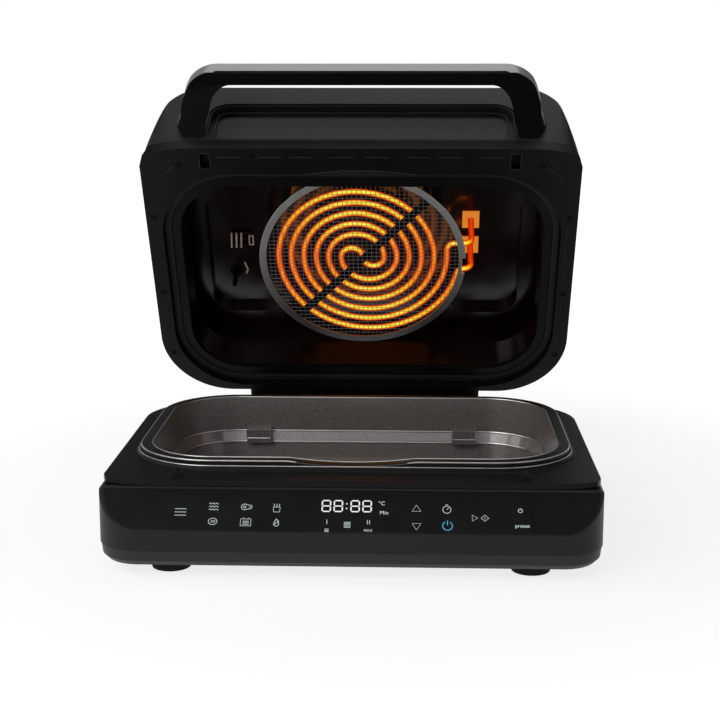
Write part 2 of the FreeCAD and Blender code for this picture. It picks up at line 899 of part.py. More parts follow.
def pot_well():
    gap = "(pot_wall + well_gap)"
    bottom = "-(pot_floor_drop + pot_wall + well_floor_gap)"
    levels = [(f"{bottom} - well_wall", "well_foot_inset - well_wall"), (UNDER_DECK, f"-({gap} + well_wall)")]
    outer = tapered("well_form", bowl_plan, levels)
    edge = f"-({gap} + well_wall + well_flange)"
    flange = slab("well_flange_plate", bowl_plan, f"{UNDER_DECK} - well_wall", UNDER_DECK, edge)
    levels = [(bottom, "well_foot_inset"), (f"{UNDER_DECK} + 1", f"-{gap}")]
    inner = tapered("well_hollow", bowl_plan, levels)
    base_node("pot_well", cut("well", fuse("well_solid", outer, flange), inner))


def grill_pot():
    rim_top = "(collar_height + pot_rim_height)"
    levels = [
        ("-(pot_floor_drop + pot_wall)", "(pot_lower_inset - pot_wall)"),
        ("-pot_ledge_bottom", "(pot_ledge_inset - pot_wall)"),
        ("-pot_ledge_top", "(pot_upper_draft - pot_wall)"),
        ("collar_height", "-pot_wall"),
    ]
    bowl = tapered("bowl_form", bowl_plan, levels)
    levels = [
        ("collar_height", "0"),
        (f"{rim_top} - pot_rim_round", "0"),
        (rim_top, "pot_rim_round"),
    ]
    rim = tapered("pot_rim", pot_plan, levels)
    levels = [
        ("-pot_floor_drop", "pot_lower_inset"),
        ("-pot_ledge_bottom", "pot_ledge_inset"),
        ("-pot_ledge_top", "pot_upper_draft"),
        (rim_top, "0"),
        (f"{rim_top} + pot_rim_round", "-pot_rim_round"),
    ]
    hollow = tapered("bowl_hollow", bowl_plan, levels)
    radius = "((pot_dip_width^2 / 4 + pot_dip_depth^2) / (2 * pot_dip_depth))"
    centre = ("0", f"{rim_top} + {radius} - pot_dip_depth")
    dip = rod("pot_dip", "Y", centre, radius, "pot_front - 1", "pot_front + pot_rim_width + 1")
    walls = cut("pot_walls", fuse("pot_solid", bowl, rim), hollow, dip)
    rear = "(pot_front + pot_depth - pot_rim_width)"
    pads = []
    for side in ("-1", "1"):
        edges = ("pot_pad_spread - pot_pad_width / 2", "pot_pad_spread + pot_pad_width / 2")
        xs = span(side, *edges)
        ys = (f"{rear} - pot_ledge_inset - pot_pad_depth", f"{rear} - pot_upper_draft + pot_wall / 2")
        pads.append(block(f"pot_pad_{len(pads)}", xs, ys, ("-pot_ledge_bottom", "-pot_pad_drop")))
    base_node("grill_pot", fuse("pot", walls, *pads))


# Base: hinge brackets, pins and the cord gland


def hinge_bracket(name, side):
    axis = ("hinge_back", f"-{HINGE_DROP}")
    xs = span(side, "lug_inner", "lug_inner + lug_width")
    zs = (f"-{HINGE_DROP} - lug_radius", f"lug_radius - {HINGE_DROP}")
    arm = block(f"{name}_arm", xs, ("body_rear", "hinge_back"), zs)
    boss = rod(f"{name}_boss", "X", axis, "lug_radius", *xs)
    plate_xs = span(side, "lug_inner - lug_plate_side", "lug_inner + lug_width + lug_plate_side")
    ys = ("body_rear", "body_rear + lug_plate_thickness")
    plate = block(f"{name}_plate", plate_xs, ys, ("-seam_drop", f"lug_plate_top - {HINGE_DROP}"))
    bore = rod(f"{name}_bore", "X", axis, "(pin_radius + pin_fit)", "-body_width", "body_width")
    return cut(name, fuse(f"{name}_whole", arm, boss, plate), bore)


def hinge_pin(name, side):
    axis = ("hinge_back", f"-{HINGE_DROP}")
    end = f"{KNUCKLE_OUTER} + side_clearance"
    shank = rod(f"{name}_shank", "X", axis, "pin_radius", *span(side, "lug_inner", end))
    head_span = span(side, end, f"{end} + pin_head_length")
    head = rod(f"{name}_head", "X", axis, "pin_head_radius", *head_span)
    return fuse(name, shank, head)


def cord_gland():
    low = "0"
    collar = "gland_length / 4"
    profile = [
        ("gland_bore", low),
        ("gland_radius", low),
        ("gland_radius", collar),
        ("gland_neck", collar),
        ("gland_tip", "gland_length"),
        ("gland_bore", "gland_length"),
    ]
    gland = revolved("gland_solid", profile)
    gland.Placement = FreeCAD.Placement(FreeCAD.Vector(), turned((1, 0, 0), -90))
    base_node("cord_gland", set_at(gland, "-gland_offset", "body_rear", "-gland_drop"))


# Lid: shell and rim frame


def wall_and_edge(start, inset, low, draft, radius):
    """A drafted wall's foot, its bend and where its round edge meets the top, as (reach in, level)."""
    top = f"(lid_height - {inset})"
    small = f"({radius} - {inset})"
    bend = f"({top} - {small} + {small} * sin({draft}))"
    face = f"{start} + {inset} / cos({draft})"
    foot = (f"({face} + tan({draft}) * ({low}))", low)
    knee = (f"({face} + tan({draft}) * {bend})", bend)
    crown = (f"({knee[0]} + {small} * cos({draft}))", top)
    return foot, knee, crown, small


def lid_form(name, inset, low):
    """The lid's closed form: drafted walls and round top edges, cut to the deck's plan."""

    def profile(near, far, draft, near_radius, far_radius):
        foot, knee, crown, small = wall_and_edge(near, inset, low, draft, near_radius)
        far_foot, far_knee, far_crown, far_small = wall_and_edge("0", inset, low, draft, far_radius)
        return [
            foot,
            (f"{far} - {far_foot[0]}", low),
            (f"{far} - {far_knee[0]}", far_knee[1], far_small, 1),
            (f"{far} - {far_crown[0]}", far_crown[1]),
            (*crown, small, 1),
            knee,
        ]

    radii = ("front_edge_radius", "rear_edge_radius")
    side = profile("-front_bow", "deck_depth", "front_draft", *radii)
    radii = ("side_edge_radius", "side_edge_radius")
    front = profile("-deck_width / 2", "deck_width / 2", "side_draft", *radii)
    return common(
        name,
        across(f"{name}_long", side, "-deck_width", "deck_width"),
        backwards(f"{name}_broad", front, "-2 * body_front", "2 * deck_depth"),
        slab(f"{name}_prism", deck_plan, low, "lid_height", inset),
        slab(f"{name}_corners", shell_plan, low, "lid_height", inset),
    )


def scoop(name, grow, back):
    face = rounded("scoop_width / 2", "scoop_low", "scoop_high", "scoop_corner", "scoop_corner")
    return backwards(name, face(f"-({grow})"), "-2 * body_front", back)


def lid_shell():
    outer = lid_form("shell_outer", "0", "rim_height")
    hollow = lid_form("shell_hollow", "lid_wall", "rim_height - 1")
    behind_scoop = scoop("scoop_back_wall", "lid_wall", "scoop_back + lid_wall")
    tools = [cut("shell_inner", hollow, behind_scoop), scoop("scoop_hollow", "0", "scoop_back")]
    for count in range(round(amount("vent_slot_count"))):
        low = f"vent_slot_low + {count} * vent_slot_pitch"
        xs = ("-vent_slot_length / 2", "vent_slot_length / 2")
        ys = ("deck_depth - rear_edge_radius", "2 * deck_depth")
        tools.append(block(f"vent_slot_{count}", xs, ys, (low, f"{low} + vent_slot_height")))
    tools.extend(grip_screw_holes("shell"))
    lid_node("lid_shell", cut("shell", outer, *tools))


def rim_screw_spots():
    edge = "(deck_width / 2 - screw_edge_inset)"
    spots = [
        ("screw_inner_side", "screw_row_back"),
        ("screw_outer_side", "screw_row_back"),
        ("screw_corner_side", "screw_corner_back"),
        (edge, "screw_edge_front"),
        (edge, "screw_edge_middle"),
        ("(deck_width / 2 - screw_rear_inset)", "screw_edge_rear"),
    ]
    for side in ("-", ""):
        for across_x, back in spots:
            yield f"{side}{across_x}", back


def yoke_screw_spots():
    for side in ("-", ""):
        for spread in ("yoke_screw_inner", "yoke_screw_outer"):
            yield f"{side}{spread}", "rim_height / 2"


def rim_frame():
    whole = slab("rim_form", deck_plan, "0", "rim_height")
    recess = slab("rim_recess", groove_plan, "-1", "band_depth")
    ditch = slab("groove_outer", groove_plan, "band_depth", "groove_depth")
    island = slab("groove_inner", groove_plan, "band_depth - 1", "groove_depth + 1", "groove_width")
    tools = [recess, cut("groove", ditch, island)]
    tools.append(slab("rim_mouth", mouth_plan, "0", "rim_height + 1"))
    middle = "(fin_back + fin_depth / 2)"
    for side in ("-1", "1"):
        edges = ("fin_spread - socket_width / 2", "fin_spread + socket_width / 2")
        ys = (f"{middle} - socket_length / 2", f"{middle} + socket_length / 2")
        tools.append(block(f"socket_{len(tools)}", span(side, *edges), ys, ("-1", "socket_depth")))
    chord = "pot_front - groove_gap + 1"
    radius = "((notch_width^2 / 4 + notch_depth^2) / (2 * notch_depth))"
    points = [("-notch_width / 2", chord, radius, 1), ("notch_width / 2", chord)]
    tools.append(prism("notch", outline("notch_plan", "XY", "-1", points), "band_depth + 1"))
    tools.append(yoke_strip("strip_seat"))
    sink = "(screw_sink + screw_head_height)"
    for count, spot in enumerate(rim_screw_spots()):
        room = "(screw_head + screw_clearance)"
        tools.append(rod(f"rim_sink_{count}", "Z", spot, room, "-1", sink))
        tools.append(screw_hole(f"rim_hole_{count}", "Z", spot, "-1", "rim_screw_length + 1"))
    for count, (x, z) in enumerate(yoke_screw_spots()):
        tools.append(screw_hole(f"yoke_tap_{count}", "Y", (x, z), "deck_depth - yoke_tap", "2 * deck_depth"))
    lid_node("rim_frame", cut("rim", whole, *tools))
    screws = []
    for count, spot in enumerate(rim_screw_spots()):
        screws.append(screw(f"rim_screw_{count}", "Z", spot, sink, "rim_screw_length", True))
    lid_node("rim_screws", *screws)
    inner = "(groove_width - seal_gap)"
    outside = slab("seal_outside", groove_plan, "seal_low", "groove_depth", "seal_gap")
    inside = slab("seal_inside", groove_plan, "seal_low - 1", "groove_depth + 1", inner)
    lid_node("lid_seal", cut("seal", outside, inside))


# Lid: hinge yoke


def yoke_strip(name):
    xs = (f"-{KNUCKLE_OUTER}", KNUCKLE_OUTER)
    return block(name, xs, ("deck_depth - yoke_strip_depth", "deck_depth"), ("0", "yoke_strip_height"))


def hinge_yoke():
    axis_level = f"-({HINGE_DROP} + lid_gap)"
    rear = "(hinge_back - yoke_back)"
    wide = (f"-{KNUCKLE_OUTER}", KNUCKLE_OUTER)
    solids = [yoke_strip("yoke_front_strip")]
    solids.append(block("yoke_bar", wide, ("deck_depth", rear), ("0", "rim_height")))
    ys = (f"{rear} - yoke_thickness", rear)
    solids.append(block("yoke_plate", wide, ys, (axis_level, "rim_height")))
    for side in ("-1", "1"):
        xs = span(side, KNUCKLE_INNER, KNUCKLE_OUTER)
        solids.append(rod(f"knuckle_{len(solids)}", "X", ("hinge_back", axis_level), "lug_radius", *xs))
    middle = (f"-{KNUCKLE_INNER}", KNUCKLE_INNER)
    zs = (f"{axis_level} - 2 * lug_radius", f"{axis_level} + yoke_cut_top")
    tools = [block("yoke_cut", middle, ("body_rear", "2 * hinge_back"), zs)]
    clear = "(pin_radius + pin_clearance)"
    tools.append(rod("yoke_bore", "X", ("hinge_back", axis_level), clear, "-body_width", "body_width"))
    for count, (x, z) in enumerate(yoke_screw_spots()):
        tools.append(screw_hole(f"yoke_hole_{count}", "Y", (x, z), "deck_depth - 1", "2 * deck_depth"))
    lid_node("hinge_yoke", cut("yoke", fuse("yoke_whole", *solids), *tools))
    screws = []
    for count, (x, z) in enumerate(yoke_screw_spots()):
        point = "deck_depth - yoke_tap + screw_clearance"
        screws.append(screw(f"yoke_screw_{count}", "Y", (x, z), rear, point, False))
    lid_node("yoke_screws", *screws)


# Lid: cavity liner


def patch(xs, ys, corner):
    """A rounded rectangle between two x and two y values, as a function of how far it is drawn in."""

    def points(inset):
        left, right = f"({xs[0]} + ({inset}))", f"({xs[1]} - ({inset}))"
        near, far = f"({ys[0]} + ({inset}))", f"({ys[1]} - ({inset}))"
        bend = f"({corner} - ({inset}))"
        return [
            (f"{left} + {bend}", near),
            (f"{right} - {bend}", near, bend, 1),
            (right, f"{near} + {bend}"),
            (right, f"{far} - {bend}", bend, 1),
            (f"{right} - {bend}", far),
            (f"{left} + {bend}", far, bend, 1),
            (left, f"{far} - {bend}"),
            (left, f"{near} + {bend}", bend, 1),
        ]

    return points


POCKET_LEVEL = "(ceiling_level + pocket_depth)"
lead_spots = (("lead_side", "(coil_back - lead_front)"), ("lead_side", "(coil_back + lead_rear)"))
sensor_spot = ("-sensor_side", "sensor_back")
centre_spot = ("0", "coil_back")


def cavity_liner():
    levels = [("rim_height", "0"), ("ceiling_level + liner_wall", "ceiling_inset")]
    outer = tapered("liner_form", liner_plan, levels)
    flange = slab("liner_edge", liner_plan, "rim_height", "rim_height + liner_wall", "-liner_flange")
    levels = [("rim_height - 1", "liner_wall"), ("ceiling_level", "(ceiling_inset + liner_wall)")]
    solids = [outer, flange]
    tools = [tapered("liner_hollow", liner_plan, levels)]
    for side in ("-1", "1"):
        xs = span(side, "pocket_inner", "pocket_outer")
        plan = patch(xs, ("pocket_front", "pocket_rear"), "pocket_corner")
        top = f"{POCKET_LEVEL} + liner_wall"
        solids.append(slab(f"pocket_{len(solids)}", plan, "ceiling_level", top, "-liner_wall"))
        tools.append(slab(f"pocket_hollow_{len(tools)}", plan, "ceiling_level - 1", POCKET_LEVEL))
    through = ("ceiling_level - 1", f"{POCKET_LEVEL} + 2 * liner_wall")
    tools.append(rod("shaft_opening", "Z", centre_spot, "shaft_hole", *through))
    for count, spot in enumerate(lead_spots):
        tools.append(rod(f"lead_opening_{count}", "Z", spot, "(tube_diameter / 2 + liner_wall)", *through))
    room = "(sensor_radius + tube_fit)"
    tools.append(rod("sensor_opening", "Z", sensor_spot, room, *through))
    for count in range(round(amount("slot_count"))):
        near = f"slot_back + {count} * slot_pitch"
        ys = (near, f"{near} + slot_width")
        tools.append(block(f"slot_{count}", ("-slot_side - slot_length", "-slot_side"), ys, through))
    lid_node("cavity_liner", cut("liner", fuse("liner_solid", *solids), *tools))


# Lid: heating tube, its terminals and its strap


def coil_edges():
    """The tube's centre line, from one terminal to the other, as lines and arcs."""
    pitch = amount("coil_pitch")
    core = amount("coil_core")
    level = amount("coil_level")
    bend = amount("lead_bend")
    top = amount("lead_top")
    side = amount("lead_side")
    back = amount("coil_back")
    turns = round(amount("coil_half_turns"))
    shift = pitch / 2
    edges = []

    def spot(x, rise, height=level):
        return FreeCAD.Vector(x, back - rise, height)

    def line(start, finish):
        edges.append(Part.makeLine(start, finish))

    def arc(centre, rise, radius, begin, end):
        angles = [math.radians(angle) for angle in (begin, (begin + end) / 2, end)]
        ring = [spot(centre + radius * math.cos(a), rise + radius * math.sin(a)) for a in angles]
        edges.append(Part.Arc(*ring).toShape())

    def lead(rise, inwards):
        """The upright end of the tube and its bend into the coil's level."""
        up, low = spot(side, rise, top), spot(side, rise, level + bend)
        half = bend * (1 - math.sqrt(0.5))
        corner = spot(side - half, rise, level + half)
        flat = spot(side - bend, rise)
        pieces = [Part.makeLine(up, low), Part.Arc(low, corner, flat).toShape()]
        if not inwards:
            pieces = [Part.Arc(flat, corner, low).toShape(), Part.makeLine(low, up)]
        edges.extend(pieces)

    front = amount("lead_front")
    lead(front, True)
    outer = shift + core + (turns - 1) * pitch
    line(spot(side - bend, front), spot(outer + bend, front))
    arc(outer + bend, front - bend, bend, 90, 180)
    line(spot(outer, front - bend), spot(outer, 0))
    for k in range(turns - 1, -1, -1):
        if k % 2 == 0:
            arc(shift, 0, core + k * pitch, 0, -180)
        else:
            arc(-shift, 0, core + k * pitch, 180, 0)
    middle = core - shift
    arc(-middle / 2, 0, middle / 2, 180, 0)
    arc(middle / 2, 0, middle / 2, -180, 0)
    for k in range(turns):
        if k % 2 == 0:
            arc(-shift, 0, core + k * pitch, 0, 180)
        else:
            arc(shift, 0, core + k * pitch, -180, 0)
    radius = core + turns * pitch
    rear = amount("lead_rear")
    turn = math.degrees(math.asin((rear + bend) / (radius + bend)))
    arc(shift, 0, radius, -180, -turn)
    reach = shift + (radius + bend) * math.cos(math.radians(turn))
    arc(reach, -rear - bend, bend, 180 - turn, 90)
    line(spot(reach, -rear), spot(side - bend, -rear))
    lead(-rear, False)
    return edges


def least_gap(edges, diameter):
    """The least clear distance between stretches of the tube that are not neighbours."""
    step = diameter / 2
    points = []
    for edge in edges:
        points.extend(edge.discretize(max(2, round(edge.Length / step)))[:-1])
    apart = round(4 * diameter / step)
    least = math.inf
    for k, point in enumerate(points):
        for other in points[k + apart :]:
            least = min(least, point.distanceToPoint(other))
    return least - diameter


def heater():
    edges = coil_edges()
    diameter = amount("tube_diameter")
    path = Part.Wire(edges)
    start = edges[0].Vertexes[0].Point
    mouth = Part.Wire(Part.makeCircle(diameter / 2, start, FreeCAD.Vector(0, 0, -1)))
    tube = add("Part::Feature", "heating_tube", Shape=path.makePipeShell([mouth], True, False))
    length = sum(edge.Length for edge in edges)
    ideal = math.pi * diameter**2 / 4 * length
    share = tube.Shape.Volume / ideal
    print(f"heating tube: {length:.0f} mm long, volume {share:.4f} of section times length")
    print(f"heating tube: least gap to itself {least_gap(edges, diameter):.2f} mm")
    lid_node("heater_coil", tube)

    plates = []
    for count, (x, y) in enumerate(lead_spots):
        xs = (f"{x} - terminal_width / 2", f"{x} + terminal_width / 2")
        ys = (f"{y} - terminal_length / 2", f"{y} + terminal_length / 2")
        zs = (f"{POCKET_LEVEL} - terminal_thickness", POCKET_LEVEL)
        plate = block(f"terminal_plate_{count}", xs, ys, zs)
        room = "(tube_diameter / 2 + tube_fit)"
        bore = rod(f"terminal_bore_{count}", "Z", (x, y), room, "ceiling_level", f"2 * {POCKET_LEVEL}")
        plates.append(cut(f"terminal_{count}", plate, bore))
    lid_node("heater_terminals", *plates)

    half = ("-strap_width / 2", "strap_width / 2")
    low = "strap_level"
    pieces = [block("strap_bar", ("-strap_reach", "strap_reach"), half, (low, f"{low} + strap_thickness"))]
    for side in ("-1", "1"):
        xs = span(side, "strap_reach - strap_thickness", "strap_reach")
        pieces.append(block(f"strap_leg_{len(pieces)}", xs, half, (low, "ceiling_level")))
    lid_node("heater_strap", spun(fuse("strap", *pieces), "-strap_angle", "coil_back"))


# Lid: round guard under the coil


def guard():
    low, high = "guard_level", "(guard_level + guard_ring_height)"
    outer = rod("ring_outer", "Z", centre_spot, "guard_radius", low, high)
    inner_radius = "(guard_radius - guard_ring_width)"
    inner = rod("ring_inner", "Z", centre_spot, inner_radius, "0", "ceiling_level")
    xs = ("guard_radius - ring_notch_depth", "2 * guard_radius")
    ys = ("coil_back - ring_notch_near", "coil_back + ring_notch_far")
    notch = block("ring_notch", xs, ys, ("0", "ceiling_level"))
    lid_node("guard_ring", cut("ring", outer, inner, notch))

    clear = amount(inner_radius)
    level = amount(high)
    pitch = amount("mesh_pitch")
    half = (pitch - amount("mesh_wire")) / 2
    middle = FreeCAD.Vector(0, amount("coil_back"), level)
    up = FreeCAD.Vector(0, 0, 1)
    wires = [Part.Wire(Part.makeCircle(clear + amount("mesh_overlap"), middle, up))]
    count = int(clear / pitch) + 1
    for column in range(-count, count):
        for line in range(-count, count):
            x, y = (column + 0.5) * pitch, (line + 0.5) * pitch
            if math.hypot(abs(x) + half, abs(y) + half) < clear:
                corners = [(-half, -half), (half, -half), (half, half), (-half, half), (-half, -half)]
                spots = [middle + FreeCAD.Vector(x + dx, y + dy, 0) for dx, dy in corners]
                wires.append(Part.makePolygon(spots))
    print(f"guard mesh: {len(wires) - 1} gaps")
    net = Part.makeFace(wires, "Part::FaceMakerBullseye").extrude(up * amount("mesh_thickness"))
    lid_node("guard_mesh", add("Part::Feature", "net", Shape=net))

    clips = []
    half_width = ("-clip_width / 2", "clip_width / 2")
    for count in range(round(amount("clip_count"))):
        xs = ("guard_radius", "guard_radius + clip_thickness")
        upright = block(f"clip_upright_{count}", xs, half_width, (low, "ceiling_level"))
        clip = add("Part::Compound", f"clip_{count}", Links=[upright])
        clip.Placement = FreeCAD.Placement(FreeCAD.Vector(), turned((0, 0, 1), 1))
        clips.append(spun(clip, f"clip_angle + {count} * 360 / clip_count", "coil_back"))
    lid_node("guard_clips", *clips)


def temperature_sensor():
    top = f"{POCKET_LEVEL} + sensor_flange"
    stem = rod("sensor_stem", "Z", sensor_spot, "sensor_radius", "sensor_low", top)
    zs = (f"{POCKET_LEVEL} - terminal_thickness", POCKET_LEVEL)
    flange = rod("sensor_flange_plate", "Z", sensor_spot, "sensor_flange", *zs)
    lid_node("temperature_sensor", fuse("sensor", stem, flange))


# Lid: fan and motor


def circles(body, name, level, *radii):
    """A sketch of circles about the body's z axis."""
    sketch = body.newObject("Sketcher::SketchObject", name)
    roles = {feature.Role: feature for feature in body.Origin.OriginFeatures}
    sketch.AttachmentSupport = [(roles["XY_Plane"], "")]
    sketch.MapMode = "FlatFace"
    bind(sketch, "AttachmentOffset.Base.z", level)
    up = FreeCAD.Vector(0, 0, 1)
    for k, radius in enumerate(radii):
        sketch.addGeometry(Part.Circle(FreeCAD.Vector(), up, amount(radius)), False)
        sketch.addConstraint(Sketcher.Constraint("Coincident", k, 3, -1, 1))
        sketch.addConstraint(Sketcher.Constraint("Radius", k, amount(radius)))
        bind(sketch, f"Constraints[{2 * k + 1}]", radius)
    return sketch


def fan_wheel(name, radius, low, disc, count, blade_inner, blade_lean):
    """A hub, a disc above the blades and a ring of flat blades, bored for the shaft."""
    body = doc.addObject("PartDesign::Body", name)
    bore = "(shaft_radius + pin_fit)"
    disc_sketch = circles(body, f"{name}_disc_plan", disc, radius, bore)
    pad(body, f"{name}_disc", disc_sketch, "fan_disc_thickness")
    hub = circles(body, f"{name}_hub_plan", low, "fan_hub_radius", bore)
    pad(body, f"{name}_hub", hub, f"({disc}) - ({low})")
    thin = "fan_blade_thickness / 2"
    points = [
        (blade_inner, f"-{thin}"),
        (f"{radius} - 1", f"{blade_lean} - {thin}"),
        (f"{radius} - 1", f"{blade_lean} + {thin}"),
        (blade_inner, thin),
    ]
    sketch = outline(f"{name}_blade_plan", "XY", low, points, body)
    blade = pad(body, f"{name}_blade", sketch, f"({disc}) - ({low})")
    ring = body.newObject("PartDesign::PolarPattern", f"{name}_blades")
    ring.Originals = [blade]
    ring.Axis = (sketch, ["N_Axis"])
    ring.Angle = 360
    bind(ring, "Occurrences", count)
    body.Tip = ring
    return body


def fan_and_motor():
    wheel = fan_wheel(
        "wheel",
        "fan_radius",
        "fan_low",
        "fan_disc_level",
        "fan_blade_count",
        "fan_blade_inner",
        "fan_blade_lean",
    )
    lid_node("air_fan", set_at(wheel, y="coil_back"))
    cooler = fan_wheel(
        "cooler",
        "cooling_radius",
        "cooling_level",
        "(cooling_level + cooling_height)",
        "cooling_blade_count",
        "fan_hub_radius - 1",
        "0",
    )
    lid_node("cooling_fan", set_at(cooler, y="coil_back"))
    lid_node("fan_shaft", rod("shaft", "Z", centre_spot, "shaft_radius", "fan_low", "shaft_top"))

    low = "(bracket_level + bracket_thickness)"
    high = f"({low} + motor_height)"
    bore = "(shaft_radius + shaft_clearance)"
    profile = [
        (bore, low),
        ("motor_radius", low),
        ("motor_radius", f"{high} - motor_shoulder"),
        ("motor_radius - motor_shoulder", high),
        ("motor_cap_radius", high),
        ("motor_cap_radius", f"{high} - motor_shoulder"),
        (bore, f"{high} - motor_shoulder"),
    ]
    lid_node("fan_motor", set_at(revolved("motor", profile), y="coil_back"))

    half = "bracket_size / 2"
    near, far = f"coil_back - {half}", f"coil_back + {half}"
    plate = block("bracket_plate", (f"-{half}", half), (near, far), ("bracket_level", low))
    solids = [plate]
    for side in ("-", ""):
        for back in (f"{near} + 2 * post_radius", f"{far} - 2 * post_radius"):
            spot = (f"{side}({half} - 2 * post_radius)", back)
            foot = "ceiling_level + liner_wall"
            solids.append(rod(f"post_{len(solids)}", "Z", spot, "post_radius", foot, "bracket_level"))
    hole = rod("bracket_hole", "Z", centre_spot, "shaft_hole", "ceiling_level", "lid_height")
    lid_node("motor_bracket", cut("bracket", fuse("bracket_solid", *solids), hole))


# Lid: bail handle


def bail_plan(name, draw_in, arm, depth, corner):
    """The plan of the bail's outside, or of its opening when drawn in by an arm's width."""
    root = f"(handle_root_width / 2 - ({draw_in}) - ({arm}))"
    bar = f"(handle_bar_width / 2 - ({draw_in}) - ({arm}))"
    front = f"(({draw_in}) + ({depth}) - handle_front)"
    points = [
        (f"-{root}", "handle_root_back"),
        (f"-{bar}", f"{front} + {corner}", corner, 1),
        (f"{corner} - {bar}", front),
        (f"{bar} - {corner}", front, corner, 1),
        (bar, f"{front} + {corner}"),
        (root, "handle_root_back"),
    ]
    sketch = outline(f"{name}_plan", "XY", "-handle_root_low", points)
    return prism(name, sketch, "handle_bar_high + 2 * handle_root_low")


def grip_screw_spots():
    for side in ("-", ""):
        for level in ("grip_screw_low", "grip_screw_high"):
            yield f"{side}grip_screw_side", level


def grip_screw_holes(owner):
    holes = []
    for count, spot in enumerate(grip_screw_spots()):
        ends = ("-grip_screw_depth - screw_clearance", "scoop_back")
        holes.append(screw_hole(f"{owner}_grip_hole_{count}", "Y", spot, *ends))
    return holes


def handle():
    points = [
        ("handle_root_back", "handle_root_low"),
        ("handle_root_back", "handle_root_high"),
        ("handle_bar_depth - handle_front", "handle_bar_high"),
        ("-handle_front", "handle_bar_high"),
        ("handle_bar_lean - handle_front", "handle_bar_low"),
        ("handle_bar_depth - handle_front", "handle_bar_low - handle_bar_lean"),
    ]
    side = across("grip_side", points, "-deck_width", "deck_width")
    outside = bail_plan("grip_outside", "0", "0", "0", "handle_corner")
    opening = bail_plan("grip_opening", "0", "handle_arm", "handle_bar_depth", "handle_inner_corner")
    bail = common("bail", side, cut("bail_form", outside, opening))
    lid_solid = lid_form("grip_seat", "0", "rim_height")
    rim_solid = slab("grip_rim_seat", deck_plan, "-rim_height", "rim_height")
    toes = []
    for side in ("-", ""):
        edge = f"{side}handle_root_width / 2"
        points = [
            (edge, "handle_toe_high"),
            (f"{side}(handle_root_width / 2 - handle_toe_draw)", "0"),
            (edge, "0"),
        ]
        toes.append(backwards(f"grip_toe_{len(toes)}", points, "-2 * handle_front", "handle_root_back"))
    whole = cut("bail_seated", bail, lid_solid, rim_solid, *toes)

    slope = "((handle_bar_high - handle_root_high) / (handle_front - handle_bar_depth + handle_root_back))"
    edge = f"(handle_bar_high - (handle_front - handle_bar_depth - trim_back) * {slope})"
    points = [
        ("-2 * handle_front", "handle_bar_high"),
        ("-2 * handle_front", "handle_bar_high - trim_height"),
        ("handle_bar_depth - handle_front", "handle_bar_high - trim_height"),
        ("-trim_back", f"{edge} - trim_height"),
        ("-trim_back", edge),
        ("handle_bar_depth - handle_front", "handle_bar_high"),
    ]
    band = across("trim_band", points, "-deck_width", "deck_width")
    core = bail_plan("trim_core", "handle_skin", "0", "0", "(handle_corner - handle_skin)")
    skin = cut("trim_skin", band, core)
    lid_node("handle_trim", common("trim", whole, skin))
    holes = grip_screw_holes("grip")
    lid_node("handle_grip", cut("grip", whole, skin, *holes))
    screws = []
    for count, (x, z) in enumerate(grip_screw_spots()):
        wall = "lid_wall / cos(front_draft) - front_bow"
        seat = f"{wall} + tan(front_draft) * ({z} + screw_head) + screw_clearance"
        screws.append(screw(f"grip_screw_{count}", "Y", (x, z), seat, "-grip_screw_depth", False))
    lid_node("handle_screws", *screws)


def build():
    base_housing()
    electronics()
    base_tub()
    feet()
    top_deck()
    pot_well()
    grill_pot()
    on_both_sides("hinge_bracket", hinge_bracket)
    on_both_sides("hinge_pin", hinge_pin)
    cord_gland()
    lid_shell()
    rim_frame()
    hinge_yoke()
    cavity_liner()
    heater()
    guard()
    temperature_sensor()
    fan_and_motor()
    handle()


def check_and_write():
    doc.recompute()
    broken = [thing for thing in doc.Objects if {"Invalid", "Error"} & set(thing.State)]
    failed = [f"{thing.Name}: {thing.State}" for thing in broken]
    for whole in nodes:
        if whole.Shape.isNull() or not whole.Shape.isValid() or not whole.Shape.Solids:
            failed.append(f"{whole.Label}: no valid solid")
    if failed:
        raise SystemExit("\n".join(failed))
    os.makedirs("parts", exist_ok=True)
    for whole in nodes:
        whole.Shape.exportStep(f"parts/{whole.Label}.step")
    print(f"{len(nodes)} sub-parts written")


build()
check_and_write()
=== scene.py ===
# %% [markdown]
# # A countertop air fryer grill with its lid open
# The appliance has a low base with a tilted glass panel, a deep pot, and a tall lid that swings up
# on a rear hinge. Inside the lid, a glowing spiral tube sits behind a woven guard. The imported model
# gives every part its place. This lesson adds the small radii, the woven wires, the printed marks
# and the surfaces that make the parts look made.

# %% Load the frame
import json
import math

import bpy
from mathutils import Matrix, Vector

